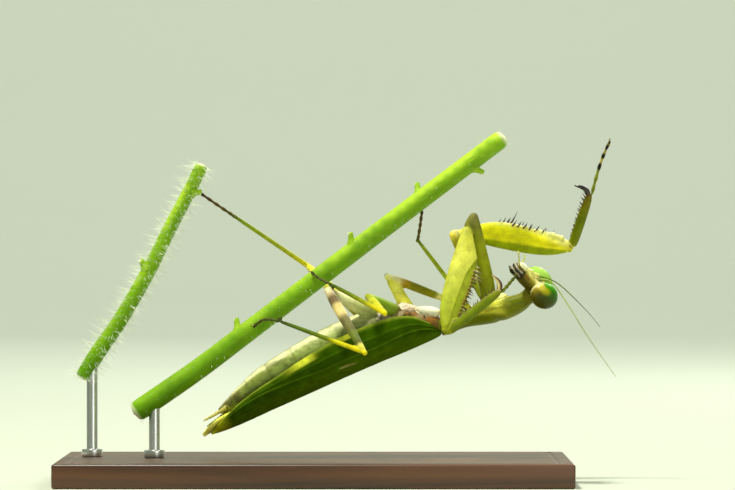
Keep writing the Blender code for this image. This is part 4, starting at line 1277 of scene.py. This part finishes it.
small_claws = []
feet = [walking_joints[f"{pair}_tarsus_{side}"] for pair in HIPS for side in SIDES]
for start, direction, length in feet + [leg["tarsus"] for leg in FORELEGS.values()]:
    end, direction = Vector(start + direction * length), Vector(direction)
    across = direction.cross(Vector((0, 0, 1))).normalized()
    down = across.cross(direction)
    for side in SIDES.values():
        foot = end - direction * 0.25 + across * side * 0.12
        tip = end + direction * 0.35 + across * side * 0.3 - down * 0.1
        small_claws.append(thorn(foot, tip, 0.09, curve=down * 0.1, steps=3))
finished(join(small_claws, "foot_claws"), horn, smooth=60)

jaws = [
    thorn(in_head(side * 0.75, 4.6, 0.1), in_head(side * 0.12, 5.9, 0.2), 0.36,
          curve=HEAD_LEFT * side * 0.25, darker=0.4)
    for side in SIDES.values()
]
finished(join(jaws, "jaws"), horn, smooth=60)


# ---------------------------------------------------------------- wing covers
# Two leathery forewings, folded flat along the back, the left over the right. Each is a thin sheet
# with strong lengthwise veins, a net of fine ones, a pale spot, and a bright thickened front edge. Its
# dark green ground is partly painted shade, and two yellow patches on its front edge are painted sunlight.

# (along, half width, height of the mid-line, height of the rim)
WING_ARCH = (
    (-41.0, 0.25, 1.05, 0.8), (-39.2, 1.45, 1.15, 0.2), (-36.8, 2.7, 1.1, -0.5), (-34.3, 3.5, 1.0, -1.2),
    (-31.0, 4.1, 0.85, -1.85), (-27.0, 4.7, 0.75, -2.4), (-23.0, 5.0, 0.7, -3.1), (-15.0, 5.1, 0.65, -4.05),
    (-7.0, 4.7, 0.8, -3.9), (-3.1, 3.8, 0.95, -2.9), (-0.4, 2.2, 1.0, -0.7), (0.7, 1.1, 0.85, 0.2),
)
ARCH_POWER = 0.62
LAP_EDGE = 140  # the angle where the upper cover ends
LAP_SLOPE = 32  # the angle over which the lower cover dips under the upper one
WING_LAYER = 0.59  # how far it dips
WALL = 0.16


def smooth_row(table, t):
    """A row of values at t, on a smooth curve through a table."""
    t = min(max(t, table[0][0]), table[-1][0])
    i = next(i for i in range(len(table) - 1) if table[i + 1][0] >= t)
    low, high = table[i], table[i + 1]
    before, after = table[max(i - 1, 0)], table[min(i + 2, len(table) - 1)]
    span = high[0] - low[0]
    x = (t - low[0]) / span
    row = []
    for k in range(1, len(low)):
        start = (high[k] - before[k]) / (high[0] - before[0]) * span
        end = (after[k] - low[k]) / (after[0] - low[0]) * span
        row.append(low[k] * (2 * x**3 - 3 * x**2 + 1) + start * (x**3 - 2 * x**2 + x)
                   + high[k] * (3 * x**2 - 2 * x**3) + end * (x**3 - x**2))
    return row


def arch_point(along, angle, inset):
    """Angle 0 is the left rim, 90 the mid-line, 180 the right rim."""
    width, top, rim = smooth_row(WING_ARCH, along)
    across, up = math.cos(math.radians(angle)), math.sin(math.radians(angle))
    shape = math.copysign(abs(across) ** ARCH_POWER, across)
    height = rim + (top - inset - rim) * abs(up) ** ARCH_POWER
    return in_body(along, (width - inset) * shape, height)


wing_finish, tree, shader = new_finish("wing_cover", 0.4, soft_light(0.0, 0.1, 0.0004, (0.5, 1.0, 0.2)))
detail = waxy_colour(tree, 0.15, 0.4)
sheet_place = add_node(tree, "UVMap", uv_map="UVMap").outputs["UV"]
stretch = add_node(tree, "Mapping", {"Vector": sheet_place, "Scale": (46, 13, 1)}).outputs["Vector"]
net = add_node(tree, "TexVoronoi", feature="DISTANCE_TO_EDGE", voronoi_dimensions="2D")
wire(net, {"Vector": stretch, "Scale": 1.0})
thread = spread(tree, net.outputs["Distance"], (0.02, 0.09), (0.14, 0.0))
wire(shader, {"Base Color": mixed(tree, thread, detail["Color"], "4c6a14"), "Roughness": detail["Roughness"],
              "Normal": dents(tree, thread, 0.5, 0.00006)})

SPAN_STEPS, CHORD_STEPS = 150, 56
VEIN_WIDTH = 1 / 66
# (height, then the share of the width from the front edge, at five places from the root to the tip)
VEINS = (
    (0.14, 0.17, 0.32, 0.31, 0.12, 0.03), (0.10, 0.08, 0.13, 0.12, 0.05, 0.01),
    (0.08, 0.24, 0.44, 0.5, 0.36, 0.14), (0.07, 0.3, 0.54, 0.63, 0.56, 0.34),
    (0.07, 0.38, 0.64, 0.74, 0.72, 0.56), (0.06, 0.5, 0.75, 0.84, 0.85, 0.76),
    (0.06, 0.66, 0.86, 0.92, 0.94, 0.92),
)


def under(value, limit, width):
    """1 well under a limit, 0 above it."""
    return np.clip((limit - value) / width, 0, 1)


def wing_cover(name, node, span, angles, inset):
    """A sheet from the front edge to the back. inset gives how far it lies inside the arch at an angle."""
    bpy.ops.mesh.primitive_grid_add(x_subdivisions=SPAN_STEPS, y_subdivisions=CHORD_STEPS, size=1)
    made = bpy.context.object
    made.name = name
    t, chord = mesh_points(made)[:, :2].T + 0.5
    places = []
    for share, across in zip(t, chord):
        angle = angles[0] + (angles[1] - angles[0]) * across
        # The root end slopes back behind the middle of the sheet, and at its very front corner.
        front = span[0] - 1.6 * max(0.0, across - 0.4) ** 1.4 - 2.5 * max(0.0, 0.12 - across)
        places.append(arch_point(front + (span[1] - front) * share, angle, inset(angle)))
    set_points(made, np.array(places))
    edited(made, (bpy.ops.mesh.normals_make_consistent, {"inside": False}))
    if (mesh_normals(made) @ DORSAL).mean() < 0:
        edited(made, (bpy.ops.mesh.flip_normals, {}))
    raised, ridge = np.zeros(len(t)), np.zeros(len(t))
    for height, *shares in VEINS:
        line = bump_at(chord - np.interp(t, (0, 0.25, 0.5, 0.75, 1), shares), VEIN_WIDTH)
        raised = np.maximum(raised, line * height)
        ridge = np.maximum(ridge, line * (height / VEINS[0][0]) ** 2)
    set_points(made, mesh_points(made) + mesh_normals(made) * (raised - 0.08)[:, None])

    # Two yellow patches on the front edge are painted sunlight coming through it; the oval spot near the
    # middle is the cover's own.
    patches = (under(chord, 0.06, 0.012) * soft_step(t - 0.5, 0.006) * soft_step(0.61 - t, 0.012)
               + under(chord, 0.03, 0.01) * soft_step(t - 0.325, 0.006) * soft_step(0.385 - t, 0.006))
    spot = ((t - 0.395) / 0.036) ** 2 + ((chord - 0.475 + (t - 0.395) * 0.7) / 0.032) ** 2
    # The dark green ground is partly the cover's own green and partly painted shade, as the cover is turned
    # away from the light.
    tinted(
        made, "304c04",
        (soft_step(chord - 0.40, 0.07) * 0.95, "52720c"),
        (np.clip(ridge, 0, 1) * 0.55, "5d7c1c"),
        (under(chord, 0.04, 0.03) * 0.3, "4f6c14"),
        (under(chord, 0.012, 0.006) * 0.85, "98a83c"),
        (np.clip(patches, 0, 1) * 0.9, "dbe04a"),
        (soft_step(1 - spot, 0.12) * 0.9, "a8a86a"),
        (soft_step(0.35 - spot, 0.08) * 0.6, "7c7a44"),
        (under(-t, -0.9, 0.08) * 0.9, "ccd02c"),
        (under(-chord, -0.97, 0.02) * 0.5, "6d7d2c"),
    )
    shaped(made, "SOLIDIFY", thickness=WALL, offset=-1)
    finished(made, wing_finish, [node], smooth=60)


wing_cover("wing_cover_left", "tegmen_left", (0.6, -41.0), (0, LAP_EDGE), lambda angle: 0.0)
wing_cover("wing_cover_right", "tegmen_right", (0.3, -40.2), (180, 48),
           lambda angle: WING_LAYER * min(1.0, (180 - angle) / LAP_SLOPE))

hindwing_finish = waxy_finish("folded_hindwing", 0.25, 0.5, 0.3)
for name in ("hindwing_left", "hindwing_right"):
    folded = rounded_solid(name)
    folded.name = name.replace("hindwing", "folded_hindwing")
    found, outward = mesh_points(folded), mesh_normals(folded)
    along, left, _ = body_place(found)
    fuller = 0.2 * np.clip((along - along.min() - 0.6) / 2, -0.6, 1)
    set_points(folded, found + outward * (fuller + 0.03 * np.cos(left * 22))[:, None])
    tinted(folded, "f8f68c", ((along + 43) / 9, "ecec40"))
    finished(folded, hindwing_finish, [name], smooth=60)
